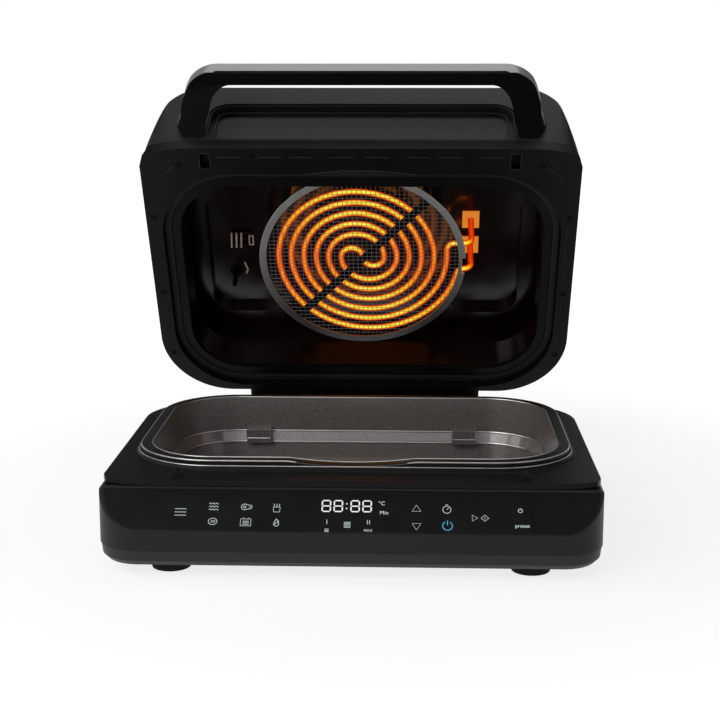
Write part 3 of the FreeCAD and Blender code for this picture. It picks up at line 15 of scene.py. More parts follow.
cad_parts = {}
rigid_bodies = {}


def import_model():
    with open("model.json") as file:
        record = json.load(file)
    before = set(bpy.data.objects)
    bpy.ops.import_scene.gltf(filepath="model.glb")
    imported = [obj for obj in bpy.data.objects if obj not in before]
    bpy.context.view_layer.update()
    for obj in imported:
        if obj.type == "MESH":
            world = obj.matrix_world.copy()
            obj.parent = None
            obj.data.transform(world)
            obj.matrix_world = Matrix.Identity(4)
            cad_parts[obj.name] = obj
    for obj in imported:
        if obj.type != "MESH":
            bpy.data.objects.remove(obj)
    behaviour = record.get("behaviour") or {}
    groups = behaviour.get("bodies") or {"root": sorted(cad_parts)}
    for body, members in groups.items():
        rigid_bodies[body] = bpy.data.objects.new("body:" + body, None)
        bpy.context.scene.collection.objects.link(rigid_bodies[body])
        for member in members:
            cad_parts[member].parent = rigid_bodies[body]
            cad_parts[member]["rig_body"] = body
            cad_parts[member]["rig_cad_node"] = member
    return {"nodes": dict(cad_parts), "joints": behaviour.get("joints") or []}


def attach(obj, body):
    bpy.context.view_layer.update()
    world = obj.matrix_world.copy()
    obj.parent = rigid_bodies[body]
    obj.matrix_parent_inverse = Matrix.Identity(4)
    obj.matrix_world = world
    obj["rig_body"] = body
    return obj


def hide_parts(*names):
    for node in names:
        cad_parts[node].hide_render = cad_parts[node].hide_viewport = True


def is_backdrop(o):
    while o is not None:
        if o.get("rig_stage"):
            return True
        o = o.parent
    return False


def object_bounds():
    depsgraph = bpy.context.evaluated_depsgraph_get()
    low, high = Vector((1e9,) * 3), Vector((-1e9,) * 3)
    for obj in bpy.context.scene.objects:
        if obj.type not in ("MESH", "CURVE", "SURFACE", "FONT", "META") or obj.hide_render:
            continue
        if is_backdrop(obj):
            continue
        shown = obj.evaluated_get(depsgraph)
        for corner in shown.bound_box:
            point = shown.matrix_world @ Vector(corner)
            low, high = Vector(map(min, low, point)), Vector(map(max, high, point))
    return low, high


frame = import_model()
nodes = frame["nodes"]
cad_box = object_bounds()
print("CAD nodes:", len(nodes))

# %% [markdown]
# ## Two places to work in
# The base was designed from its top deck and the lid as it lies when closed. Two matrices take a
# point from those drawings to the model, so each detail can be placed in the drawing's own
# millimetres. The hinge's place comes from the frame.

# %% Places
MM = 0.001
HINGE_BACK = 353.6 * MM
DECK_TOP = 84 * MM
LID_GAP = 3 * MM

hinge = next(joint for joint in frame["joints"] if joint["name"] == "lid_hinge")
hinge_spot = Vector(hinge["pos_m"])
lid_open = math.radians(-hinge["range_deg"][0])
FRONT_LINE = HINGE_BACK - hinge_spot.y

BASE = Matrix.Translation((0, -FRONT_LINE, DECK_TOP))
swing = Matrix.Rotation(lid_open, 4, Vector((-1, 0, 0)))
hinge_in_lid = Vector((0, HINGE_BACK, hinge_spot.z - DECK_TOP - LID_GAP))
LID = Matrix.Translation(hinge_spot) @ swing @ Matrix.Translation(-hinge_in_lid)
TO_FOOD = LID.to_3x3() @ Vector((0, 0, -1))
print("front line (m):", round(FRONT_LINE, 4))

# %% [markdown]
# ## The camera
# The photograph was taken a little above the deck with a long lens, slightly right of the middle.
# A long lens keeps the sides of the lid almost parallel.

# %% Camera
CAMERA_RIGHT = 56.7 * MM
CAMERA_BACK = 1322.5 * MM
CAMERA_RISE = 375.1 * MM
CAMERA_PITCH = 0.196
CAMERA_YAW = 0.0361
LENS = 75.1
SENSOR = 36

camera_spot = Vector((CAMERA_RIGHT, -FRONT_LINE - CAMERA_BACK, DECK_TOP + CAMERA_RISE))
bpy.ops.object.camera_add(location=camera_spot)
camera = bpy.context.active_object
camera.name = "studio_camera"
camera.rotation_euler = (math.pi / 2 - CAMERA_PITCH, 0, CAMERA_YAW)
camera.data.lens = LENS
camera.data.sensor_width = SENSOR
camera.data.sensor_fit = "HORIZONTAL"
bpy.context.scene.camera = camera
print("camera lens (mm):", camera.data.lens)

# %% [markdown]
# ## Colours and shader nodes
# Colours are written as the hex values a screen shows. Shaders need linear light, so one function
# turns one into the other. A second adds a shader node, sets its values and links its inputs, and
# a third turns a grain's real size into a noise scale.


# %% Colour and node helpers
def colour(code):
    """A screen colour such as "#9a9a9a" as linear red, green, blue and alpha."""
    channels = [int(code[k : k + 2], 16) / 255 for k in (1, 3, 5)]
    linear = [c / 12.92 if c <= 0.04045 else ((c + 0.055) / 1.055) ** 2.4 for c in channels]
    return (*linear, 1)


def add(tree, kind, inputs=None, stops=(), to=None, **settings):
    """Adds one shader node. An input given as a socket is linked, any other is set.

    Stops are for a colour ramp: places from 0 to 1, each with a hex colour. The node's first
    output is linked to the socket it goes to, if one is given.
    """
    made = tree.nodes.new(kind)
    for name, value in settings.items():
        setattr(made, name, value)
    if stops:
        elements = made.color_ramp.elements
        while len(elements) < len(stops):
            elements.new(0.5)
        for element, (place, code) in zip(elements, stops):
            element.position = place
            element.color = colour(code)
    for name, value in (inputs or {}).items():
        if isinstance(value, bpy.types.NodeSocket):
            tree.links.new(value, made.inputs[name])
        else:
            made.inputs[name].default_value = value
    if to is not None:
        tree.links.new(made.outputs[0], to)
    return made


def begin(name):
    """A new material with its tree, its shader's inputs and the place on the object."""
    material = bpy.data.materials.new(name)
    material.use_nodes = True
    tree = material.node_tree
    place = add(tree, "ShaderNodeTexCoord").outputs["Object"]
    return material, tree, tree.nodes["Principled BSDF"].inputs, place


def per_mm(size):
    """A noise scale whose grains are about this many millimetres apart."""
    return 1 / (size * MM)


print("mid grey in linear light:", round(colour("#808080")[0], 3))

# %% [markdown]
# ## Moulded plastic
# The housing and lid are ABS from a spark-eroded mould. The mould's grain is about half a
# millimetre across, too fine for this view, so it is drawn near one millimetre. It breaks the
# highlights up, which is what tells matt plastic from paint.


# %% Moulded plastic
TONE_LOW = 0.3
TONE_HIGH = 0.7


def moulded(name, dark, light, roughness, grain=1.1, relief=0.05, specular=0.3):
    """Plastic with slow shifts of tone, uneven gloss and the mould's fine grain."""
    material, tree, surface, place = begin(name)
    grains = {"Vector": place, "Scale": per_mm(60), "Detail": 3}
    slow = add(tree, "ShaderNodeTexNoise", grains).outputs["Fac"]
    grains = {"Vector": place, "Scale": per_mm(grain), "Detail": 2}
    fine = add(tree, "ShaderNodeTexNoise", grains).outputs["Fac"]
    stops = [(TONE_LOW, dark), (TONE_HIGH, light)]
    add(tree, "ShaderNodeValToRGB", {"Fac": slow}, stops, surface["Base Color"])
    span = {"To Min": roughness - 0.04, "To Max": roughness + 0.04}
    add(tree, "ShaderNodeMapRange", {"Value": slow, **span}, to=surface["Roughness"])
    depth = {"Strength": relief * 4, "Distance": relief * MM}
    add(tree, "ShaderNodeBump", {"Height": fine, **depth}, to=surface["Normal"])
    surface["Specular IOR Level"].default_value = specular
    return material


# The lid and the housing: a soft, even sheen.
lid_plastic = moulded("ABS_black_fine_grain", "#1c1c1d", "#202021", 0.48, specular=0.22)
# Inner frame and hinge: deeper black and a little smoother, so the grooves read as lines.
rim_plastic = moulded("ABS_black_satin", "#080809", "#0b0b0c", 0.42, relief=0.03, specular=0.13)
# The deck is seen at a low angle, where any plastic shines, so it starts darker.
deck_plastic = moulded("ABS_black_deck_grain", "#0e0e0f", "#111112", 0.5, specular=0.14)
# The bottom rim is the one grey moulding.
tub_plastic = moulded("ABS_dark_grey_grain", "#272728", "#2c2c2d", 0.5)
# Nylon takes a smooth, near lightless black.
handle_plastic = moulded(
    "nylon_black_smooth", "#020202", "#040404", 0.42, relief=0.02, specular=0.04
)
# Rubber and silicone hardly mirror at all.
foot_rubber = moulded("rubber_black_moulded", "#121212", "#181818", 0.75, grain=1.6, specular=0.2)
seal_rubber = moulded("silicone_dark_grey", "#191919", "#1f1f1f", 0.6, grain=2, specular=0.2)
# Solder mask is a glossy green lacquer.
board_resin = moulded("epoxy_glass_board_green", "#123a22", "#184a2c", 0.4, relief=0.02)
print("a plastic made:", lid_plastic.name)

# %% [markdown]
# ## Glass panel
# The touch panel is tempered glass printed black from behind, so it is smooth and its depth is in
# its gloss. Faint smears of handling vary the roughness a little.

# %% Printed glass
panel_glass, tree, surface, place = begin("tempered_glass_black_print")
grains = {"Vector": place, "Scale": per_mm(35), "Detail": 5}
smears = add(tree, "ShaderNodeTexNoise", grains).outputs["Fac"]
span = {"From Min": 0.35, "From Max": 0.75, "To Min": 0.24, "To Max": 0.3}
add(tree, "ShaderNodeMapRange", {"Value": smears, **span}, to=surface["Roughness"])
stops = [(TONE_LOW, "#19191a"), (TONE_HIGH, "#1c1c1d")]
add(tree, "ShaderNodeValToRGB", {"Fac": smears}, stops, surface["Base Color"])
surface["Specular IOR Level"].default_value = 0.2
print("glass made:", panel_glass.name)

# %% [markdown]
# ## Metals
# Sheet and bar are brushed along their length, so the scratches are long in one direction. Each
# metal is one colour with a stretched noise for its scratches, in tone as well as in relief.


# %% Metals
def brushed(name, dark, light, roughness, along, fine_mm=0.6, long_mm=40):
    """Metal with fine scratches that run along one axis."""
    material, tree, surface, place = begin(name)
    scale = [per_mm(fine_mm)] * 3
    scale[along] = per_mm(long_mm)
    stretched = add(tree, "ShaderNodeMapping", {"Vector": place, "Scale": scale})
    grains = {"Vector": stretched.outputs["Vector"], "Scale": 1, "Detail": 3}
    scratches = add(tree, "ShaderNodeTexNoise", grains).outputs["Fac"]
    stops = [(TONE_LOW, dark), (TONE_HIGH, light)]
    add(tree, "ShaderNodeValToRGB", {"Fac": scratches}, stops, surface["Base Color"])
    span = {"To Min": roughness - 0.06, "To Max": roughness + 0.06}
    add(tree, "ShaderNodeMapRange", {"Value": scratches, **span}, to=surface["Roughness"])
    depth = {"Strength": 0.1, "Distance": 0.05 * MM}
    add(tree, "ShaderNodeBump", {"Height": scratches, **depth}, to=surface["Normal"])
    surface["Metallic"].default_value = 1
    return material


# Anodised aluminium is etched first, so the handle's band has a silky grey sheen.
trim_metal = brushed("anodised_aluminium_satin", "#a8a8a9", "#b6b6b7", 0.5, 0)
# Pressed stainless steel stays bright, and the drawn wires of the net are duller.
guard_metal = brushed(
    "stainless_steel_pressed", "#d0d0d1", "#dededf", 0.42, 0, fine_mm=1.2, long_mm=12
)
wire_metal = brushed("stainless_steel_wire", "#5e6062", "#6e7072", 0.45, 0, fine_mm=1, long_mm=6)
# Rolled sheet has faint lines from front to back.
well_metal = brushed("aluminium_sheet_rolled", "#747476", "#858587", 0.4, 1)
# Blackened screws show little more than the light on their edges.
screw_metal = brushed("steel_black_zinc", "#141415", "#1d1d1e", 0.45, 2)
# Turned pins are smooth enough to draw the light into a line.
pin_metal = brushed("steel_turned", "#7d7d7e", "#8d8d8e", 0.3, 0, fine_mm=0.8, long_mm=8)
# Black oxide keeps the strap dark in front of the glow.
strap_metal = brushed("steel_black_oxide", "#0c0b0b", "#131212", 0.5, 0)
# The fan is painted dark, as painted shade, or it would glow orange behind the tube.
fan_painted_shade_metal = brushed(
    "aluminium_painted_shade_dark", "#1a1a1b", "#232324", 0.55, 0, fine_mm=1, long_mm=20
)
# The louvre lips are pale and rough: painted light, for the light that shines through the slots.
louvre_painted_light_metal = brushed("steel_painted_light_through_slots", "#c4c4c4", "#d6d6d6", 0.62, 0)
# A stack of stamped sheets shows as fine dark bands.
motor_iron = brushed(
    "motor_lamination_steel", "#4a4a4c", "#5a5a5c", 0.5, 2, fine_mm=0.7, long_mm=90
)
print("a metal made:", trim_metal.name)

# %% [markdown]
# ## Non-stick coating
# The pot is aluminium sprayed with a PTFE coat that holds pale mineral flecks. The flecks are under
# a millimetre, drawn a little larger so that they show, and the coat has a soft sheen.

# %% Non-stick coating
FLECK = 0.9

pot_coat, tree, surface, place = begin("ptfe_coating_flecked")
grains = {"Vector": place, "Scale": per_mm(FLECK), "Detail": 4, "Roughness": 0.7}
flecks = add(tree, "ShaderNodeTexNoise", grains).outputs["Fac"]
grains = {"Vector": place, "Scale": per_mm(70), "Detail": 2}
slow = add(tree, "ShaderNodeTexNoise", grains).outputs["Fac"]
stops = [(0.36, "#474341"), (0.5, "#625e5b"), (0.6, "#75706c"), (0.7, "#9a9590")]
add(tree, "ShaderNodeValToRGB", {"Fac": flecks}, stops, surface["Base Color"])
span = {"To Min": 0.28, "To Max": 0.38}
add(tree, "ShaderNodeMapRange", {"Value": slow, **span}, to=surface["Roughness"])
depth = {"Strength": 0.12, "Distance": 0.08 * MM}
add(tree, "ShaderNodeBump", {"Height": flecks, **depth}, to=surface["Normal"])
surface["Coat Weight"].default_value = 0.7
surface["Coat Roughness"].default_value = 0.1
surface["Metallic"].default_value = 0.3

# Pressed edges are painted pale and bright, as painted highlights, and the rim's lip is painted
# black, as painted shade.
painted_highlight_coat = brushed(
    "ptfe_coating_painted_highlight_edge", "#b6b2ae", "#cac6c2", 0.36, 0, fine_mm=1, long_mm=9
)
# The lip's black is painted shade.
lip_painted_shade_coat = moulded("ptfe_coating_painted_shade_lip", "#070707", "#0b0b0b", 0.4, relief=0.02, specular=0.2)
print("fleck size (mm):", FLECK)

# %% [markdown]
# ## Enamelled liner
# The lid's ceiling is pressed steel under dark brown vitreous enamel. Enamel is a glass, so it
# mirrors the glowing tube in long amber streaks, and it has the faint waves of a dipped coat.

# %% Enamel
liner_enamel, tree, surface, place = begin("vitreous_enamel_dark_brown")
grains = {"Vector": place, "Scale": per_mm(25), "Detail": 3}
waves = add(tree, "ShaderNodeTexNoise", grains).outputs["Fac"]
stops = [(TONE_LOW, "#0a0402"), (TONE_HIGH, "#140a05")]
add(tree, "ShaderNodeValToRGB", {"Fac": waves}, stops, surface["Base Color"])
span = {"To Min": 0.1, "To Max": 0.22}
add(tree, "ShaderNodeMapRange", {"Value": waves, **span}, to=surface["Roughness"])
depth = {"Strength": 0.15, "Distance": 0.3 * MM}
add(tree, "ShaderNodeBump", {"Height": waves, **depth}, to=surface["Normal"])
surface["Specular IOR Level"].default_value = 0.5
print("enamel made:", liner_enamel.name)

# %% [markdown]
# ## The glowing tube
# A nickel-iron sheath at full heat glows, here from deep red at its flanks to yellow on the side
# that faces a fixed way, leaning from the food towards the camera's side; that yellow core is a
# painted highlight. The surface's own normal tells which way a point faces, so the glow stays on the
# tube from any view. The side turned to the liner is given a stronger glow, which lies on the
# enamel as an amber sheen.

# %% Glowing sheath
PAINTED_CORE_LEAN = math.radians(36)
BACK_GLOW = 4
# The painted core's way is fixed on the tube and leans towards the camera's side.
painted_core_way = TO_FOOD * math.cos(PAINTED_CORE_LEAN) - LID.to_3x3() @ Vector((0, 1, 0)) * math.sin(PAINTED_CORE_LEAN)


def glowing(name, stops, strength):
    """Metal that glows by the way it faces, from the first stop behind to the painted core in front.
    """
    material, tree, surface, place = begin(name)
    normal = tree.nodes["Texture Coordinate"].outputs["Normal"]
    ways = {0: normal, 1: painted_core_way}
    facing = add(tree, "ShaderNodeVectorMath", ways, operation="DOT_PRODUCT").outputs["Value"]
    grains = {"Vector": place, "Scale": per_mm(9), "Detail": 3}
    mottle = add(tree, "ShaderNodeTexNoise", grains).outputs["Fac"]
    span = {"To Min": -0.05, "To Max": 0.05}
    spread = add(tree, "ShaderNodeMapRange", {"Value": mottle, **span}).outputs["Result"]
    heat = add(tree, "ShaderNodeMath", {0: facing, 1: spread}, operation="ADD").outputs["Value"]
    add(tree, "ShaderNodeValToRGB", {"Fac": heat}, stops, surface["Emission Color"])
    span = {"From Min": -1, "From Max": 0, "To Min": strength * BACK_GLOW, "To Max": strength}
    add(tree, "ShaderNodeMapRange", {"Value": facing, **span}, to=surface["Emission Strength"])
    surface["Base Color"].default_value = colour("#0c0301")
    surface["Roughness"].default_value = 0.7
    surface["Specular IOR Level"].default_value = 0.1
    return material


# From the liner side, glowing orange to lie on the enamel as an amber sheen, over deep red flanks to
# the painted yellow core.
stops = [(0.0, "#f08028"), (0.05, "#801000"), (0.3, "#a01000"), (0.5, "#d82600")]
stops += [(0.7, "#e8560a"), (0.82, "#f5960a"), (0.9, "#f8cc18"), (1.0, "#fff060")]
tube_glow = glowing("nickel_iron_sheath_red_hot", stops, 1.0)
# The flange plates glow a dull orange: a painted glow for the tube's light on them.
stops = [(0.0, "#7a2a00"), (0.4, "#d06018"), (0.9, "#e68a30")]
painted_plate_glow = glowing("steel_flange_painted_glow", stops, 0.9)
print("hottest side leans (degrees):", round(math.degrees(PAINTED_CORE_LEAN)))

# %% [markdown]
# ## Lit marks
# The digits and symbols are clear windows in the black print with lamps behind them, so they give a
# little light of their own. Most are cool white and the power mark is blue.


# %% Lit marks
def lit(name, code, strength):
    """A small lamp behind a printed window, slightly uneven as diffusers are."""
    material, tree, surface, place = begin(name)
    grains = {"Vector": place, "Scale": per_mm(4), "Detail": 1}
    fade = add(tree, "ShaderNodeTexNoise", grains).outputs["Fac"]
    span = {"To Min": 0.85, "To Max": 1.1}
    tone = add(tree, "ShaderNodeMapRange", {"Value": fade, **span}).outputs["Result"]
    scaled = {0: colour(code)[:3], "Scale": tone}
    add(tree, "ShaderNodeVectorMath", scaled, to=surface["Emission Color"], operation="SCALE")
    surface["Emission Strength"].default_value = strength
    surface["Base Color"].default_value = colour("#303030")
    return material


digit_light = lit("display_segments_white", "#f2f6f6", 1)
mark_light = lit("key_marks_cool_white", "#cfe0e0", 0.85)
power_light = lit("key_mark_blue", "#38a4c8", 0.95)
print("materials so far:", len(bpy.data.materials), "with the packed ones")

# %% [markdown]
# ## Working on a piece
# Every operator acts on what is selected, so one helper clears the selection and picks a piece.
# Others apply a modifier, round sharp edges and shade a piece. The small radius that moulding or
# pressing leaves catches the light, and nothing else does more to make an edge look real.

# %% Piece helpers
FLAT_FACES = 80


def pick(*pieces):
    """Selects only these pieces. The first is the active one."""
    bpy.ops.object.select_all(action="DESELECT")
    for piece in pieces:
        piece.select_set(True)
    bpy.context.view_layer.objects.active = pieces[0]


def apply_modifier(piece, kind, **settings):
    """Adds a modifier, sets it and applies it."""
    pick(piece)
    modifier = piece.modifiers.new(kind.lower(), kind)
    for name, value in settings.items():
        setattr(modifier, name, value)
    bpy.ops.object.modifier_apply(modifier=modifier.name)


def round_edges(piece, radius, sharp=30, segments=2):
    """Rounds the edges that turn by more than this many degrees."""
    apply_modifier(
        piece,
        "BEVEL",
        width=radius * MM,
        segments=segments,
        limit_method="ANGLE",
        angle_limit=math.radians(sharp),
        use_clamp_overlap=True,
    )


def smooth(piece, angle=35):
    """Smooth shading that leaves the wide flat faces flat."""
    pick(piece)
    bpy.ops.object.shade_smooth_by_angle(angle=math.radians(angle))
    apply_modifier(piece, "WEIGHTED_NORMAL", keep_sharp=True, weight=FLAT_FACES)


print("weight of flat faces:", FLAT_FACES)

# %% [markdown]
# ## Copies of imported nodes
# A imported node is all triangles. A copy has its loose corners merged and its flat triangles joined
# into whole faces, so that only real edges are left to round. The copy then takes the node's place,
# rides on its body and gets its finish. A node that nobody looks at closely is only painted.

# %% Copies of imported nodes
MERGE = 0.004 * MM
FLAT = math.radians(0.4)


def copy_of(node, name):
    """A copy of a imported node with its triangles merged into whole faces."""
    pick(nodes[node])
    bpy.ops.object.duplicate()
    piece = bpy.context.active_object
    piece.name = name
    piece.parent = None
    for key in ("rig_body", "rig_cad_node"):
        del piece[key]
    bpy.ops.mesh.customdata_custom_splitnormals_clear()
    bpy.ops.object.mode_set(mode="EDIT")
    bpy.ops.mesh.select_all(action="SELECT")
    bpy.ops.mesh.remove_doubles(threshold=MERGE)
    bpy.ops.mesh.dissolve_limited(angle_limit=FLAT)
    bpy.ops.object.mode_set(mode="OBJECT")
    return piece


def finish(piece, body, material, slot, *stands_for):
    """Gives a piece its material and its body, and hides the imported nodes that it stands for."""
    piece.data.materials.clear()
    piece.data.materials.append(material)
    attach(piece, body)
    if stands_for:
        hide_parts(*stands_for)


def eased(node, body, material, slot, radius, sharp=30, segments=2):
    """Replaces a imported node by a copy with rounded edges."""
    piece = copy_of(node, f"{node}_eased")
    if radius:
        round_edges(piece, radius, sharp, segments)
    smooth(piece)
    finish(piece, body, material, slot, node)
    return piece


def paint(node, material):
    """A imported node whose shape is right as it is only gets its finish."""
    data = nodes[node].data
    data.materials.clear()
    data.materials.append(material)


print("corners merge within (mm):", round(MERGE / MM, 4))

# %% [markdown]
# ## Lines made into bars
# Beads, wires, grooves and printed marks are all thin bars that follow a line. A line of points
# becomes a curve, the curve is given a round section and made a mesh, and only then is it moved to
# its place. A height presses the bar flat, as ink is. The same bars cut grooves.


# %% Line helpers
def trace(name, lines, width, place, height=None, sides=2):
    """Round bars along lines of points (x, y) or (x, y, z) in millimetres, as one mesh."""
    curve = bpy.data.curves.new(name, "CURVE")
    curve.dimensions = "3D"
    curve.bevel_depth = width / 2 * MM
    curve.bevel_resolution = sides
    curve.use_fill_caps = True
    for points, closed in lines:
        spline = curve.splines.new("POLY")
        spline.points.add(len(points) - 1)
        spline.use_cyclic_u = closed
        for spot, point in zip(spline.points, points):
            x, y, z = (*point, 0)[:3]
            spot.co = (x * MM, y * MM, z * MM, 1)
    piece = bpy.data.objects.new(name, curve)
    bpy.context.scene.collection.objects.link(piece)
    pick(piece)
    bpy.ops.object.convert(target="MESH")
    piece = bpy.context.active_object
    flat = Matrix.Diagonal((1, 1, (height or width) / width, 1))
    piece.data.transform(place @ flat)
    smooth(piece)
    return piece


def ring_points(x, y, radius, start=0, end=360, count=20):
    """Points on a circle, or on part of one, between two angles."""
    angles = [math.radians(start + (end - start) * k / count) for k in range(count + 1)]
    return [(x + radius * math.cos(a), y + radius * math.sin(a)) for a in angles]


def box_points(x, y, width, height):
    """The corners of a box round a middle."""
    w, h = width / 2, height / 2
    return [(x - w, y - h), (x + w, y - h), (x + w, y + h), (x - w, y + h)]


def carve(piece, cutter):
    """Cuts one piece's shape out of another and throws the cutter away."""
    apply_modifier(piece, "BOOLEAN", operation="DIFFERENCE", solver="EXACT", object=cutter)
    bpy.data.objects.remove(cutter)


print("points on a whole ring:", len(ring_points(0, 0, 1)))

# %% [markdown]
# ## Base housing and tub
# The base is two mouldings that meet at a seam above the lighter bottom rim. Both shapes are right
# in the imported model, so each only gets the radius of its mould's edges.

# %% Base mouldings
housing = eased("base_housing", "base", lid_plastic, "black_plastic", 0.9)
eased("base_tub", "base", tub_plastic, "grey_plastic", 0.8)
eased("top_deck", "base", deck_plastic, "black_plastic", 0.7)
eased("control_panel", "base", panel_glass, "panel_gloss", 0.5)
eased("feet", "base", foot_rubber, "rubber", 1.2)
eased("cord_gland", "base", foot_rubber, "rubber", 0.5)
for side in ("left", "right"):
    eased(f"hinge_bracket_{side}", "base", rim_plastic, "black_plastic", 0.8)
    eased(f"hinge_pin_{side}", "base", pin_metal, "steel", 0.5)
print("housing faces:", len(housing.data.polygons))

# %% [markdown]
# ## Pot and well
# The pot is pressed and coated aluminium that lifts out, and the thin well round it keeps its heat
# from the base. The pressed edges get a wider radius than the mouldings. The rim above the deck is
# the pot's lip and is painted black, as painted shade.

# %% Pot and well
pot = eased("grill_pot", "base", pot_coat, "coated_aluminium", 1.2, sharp=14, segments=3)
# Faces above this level take the painted shade of the black lip.
LIP_FOOT = DECK_TOP + 4.6 * MM
pot.data.materials.append(lip_painted_shade_coat)
for face in pot.data.polygons:
    lowest = min(pot.data.vertices[k].co.z for k in face.vertices)
    face.material_index = int(lowest > LIP_FOOT)
eased("pot_well", "base", well_metal, "aluminium", 0.4)
print("lip faces:", sum(face.material_index for face in pot.data.polygons))

# %% [markdown]
# ## Pressed edges of the pot
# A press leaves each edge of the pot's step as a small round bead, and the rim is rolled outside
# and in. They are laid as thin round bars half sunk in the wall. The collar of the deck has a
# moulded bead. All these beads are painted pale and bright, as painted highlights.

# %% Pressed edges
POT_HALF = 210
POT_NEAR = 30.5
POT_FAR = 313.5
POT_RIM = 12
POT_CORNER = 77
STEP_TOP = -27
STEP_FOOT = -38
DIP_REACH = 60
DIP_DEPTH = 4
# Each ring is an inset from the pot's edge and a level.
STEP_RINGS = ((POT_RIM + 4.2, STEP_TOP), (POT_RIM + 10.4, STEP_FOOT))
RIM_RINGS = ((0.8, 9.1), (11.6, 9.8))
COLLAR_RING = (-1.6, 4.8)
STEP_BEAD = 2.2
RIM_ROLL = 1.7
COLLAR_BEAD = 1.3


def pot_ring(inset, level, steps=8):
    """The pot's plan drawn in from its outer edge, at one level. The rim dips at the front."""
    half, near, far = POT_HALF - inset, POT_NEAR + inset, POT_FAR - inset
    bend = POT_CORNER - inset
    points = []
    for x_sign, y_end, start in ((1, near, 270), (1, far, 0), (-1, far, 90), (-1, near, 180)):
        x = x_sign * (half - bend)
        y = y_end + bend if y_end == near else y_end - bend
        points += [(px, py, level) for px, py in ring_points(x, y, bend, start, start + 90, steps)]
    if level > DIP_DEPTH + 1:
        for x in range(-DIP_REACH, DIP_REACH + 1, 6):
            points.append((x, near, level - DIP_DEPTH * (1 - (x / DIP_REACH) ** 2)))
    return (points, True)


step_lines = [pot_ring(*ring) for ring in STEP_RINGS]
# The pot's beads are painted pale, as painted highlights.
step_beads = trace("pot_step_beads", step_lines, STEP_BEAD, BASE)
finish(step_beads, "base", painted_highlight_coat, "coated_aluminium")
rim_lines = [pot_ring(*ring, steps=12) for ring in RIM_RINGS]
rim_beads = trace("pot_rim_rolls", rim_lines, RIM_ROLL, BASE)
finish(rim_beads, "base", painted_highlight_coat, "coated_aluminium")
collar_line = pot_ring(*COLLAR_RING, steps=12)
# The deck's collar bead is painted pale too, as a painted highlight.
collar_bead = trace("deck_collar_bead", [collar_line], COLLAR_BEAD, BASE)
finish(collar_bead, "base", painted_highlight_coat, "black_plastic")
print("step bead faces:", len(step_beads.data.polygons))

# %% [markdown]
# ## Edges of the two pads
# Two pads on the rear wall hold the rack's feet. Each has a bead round its top, one across its
# front and one down each front corner. The beads are painted pale, as painted highlights.

# %% Pad edges
PAD_SIDES = (100, 126)
PAD_BACK = 298
PAD_FRONT = 282.6
PAD_TOP = -23
PAD_WAIST = -32.4
STEP_BACK = 291
PAD_BEAD = 1.4


def pad_edges(side):
    """The edges of one pad, on the left for -1 and on the right for 1."""
    low, high = (side * x for x in PAD_SIDES)
    top = [(x, y, PAD_TOP) for x, y in ((low, PAD_BACK), (low, PAD_FRONT))]
    top += [(x, y, PAD_TOP) for x, y in ((high, PAD_FRONT), (high, PAD_BACK))]
    waist = [(x, PAD_FRONT, PAD_WAIST) for x in (low, high)]
    waist = [(low, STEP_BACK, STEP_FOOT + 1), *waist, (high, STEP_BACK, STEP_FOOT + 1)]
    drops = [([(x, PAD_FRONT, PAD_TOP), (x, PAD_FRONT, PAD_WAIST)], False) for x in (low, high)]
    return [(top, False), (waist, False), *drops]


pad_beads = trace("pot_pad_beads", pad_edges(-1) + pad_edges(1), PAD_BEAD, BASE)
finish(pad_beads, "base", painted_highlight_coat, "coated_aluminium")
print("pad bead faces:", len(pad_beads.data.polygons))

# %% [markdown]
# ## Unseen parts of the base
# The display, the boards and the screws sit inside or underneath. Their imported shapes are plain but
# right, so they are only painted.

# %% Unseen inner parts of the base
PAINTED = {
    "display_module": panel_glass,
    "touch_board": board_resin,
    "power_board": board_resin,
    "tub_screws": screw_metal,
    "foot_screws": screw_metal,
}
for node, material in PAINTED.items():
    paint(node, material)
print("painted nodes in the base:", len(PAINTED))

# %% [markdown]
# ## Marks on the panel
# The panel lies at an angle, so its marks are drawn flat in millimetres and set on it by one
# matrix. Each mark is a rounded bar pressed nearly flat, which reads as a thin printed line.

# %% Panel place
PANEL_RUN = 32.5
PANEL_RISE = 31.1
PANEL_FOOT = Vector((0, -35 * MM, -39.5 * MM))
INK = 0.12

panel_lean = math.atan2(PANEL_RISE, PANEL_RUN)
PANEL = BASE @ Matrix.Translation(PANEL_FOOT) @ Matrix.Rotation(panel_lean, 4, "X")
print("panel leans (degrees):", round(math.degrees(panel_lean), 1))

# %% [markdown]
# ## Digits
# The display has four seven-segment figures and a colon. All of them show an eight, as a display
# does when it tests itself. The bars stop short of each other, and the gap is what makes a lit
# figure read as segments.

# %% Digits
DIGIT_PLACES = (-21.0, -10.2, 5.1, 15.9)
DIGIT_LEVEL = 28.4
DIGIT_HALF_WIDTH = 3.7
DIGIT_HALF_HEIGHT = 5.6
SEGMENT = 1.2
GAP = 0.6

segments = []
for x in DIGIT_PLACES:
    for row in (-1, 0, 1):
        level = DIGIT_LEVEL + row * DIGIT_HALF_HEIGHT
        ends = [(x - DIGIT_HALF_WIDTH + GAP, level), (x + DIGIT_HALF_WIDTH - GAP, level)]
        segments.append((ends, False))
    for edge in (-DIGIT_HALF_WIDTH, DIGIT_HALF_WIDTH):
        for low in (-DIGIT_HALF_HEIGHT, 0):
            bottom = DIGIT_LEVEL + low + GAP
            top = DIGIT_LEVEL + low + DIGIT_HALF_HEIGHT - GAP
            segments.append(([(x + edge, bottom), (x + edge, top)], False))
for dot in (-2.4, 2.4):
    segments.append(([(-3.2, DIGIT_LEVEL + dot), (-2.0, DIGIT_LEVEL + dot)], False))
digits = trace("display_digits", segments, SEGMENT, PANEL, height=INK)
finish(digits, "base", digit_light, "panel_gloss")
print("digit segments:", len(segments))

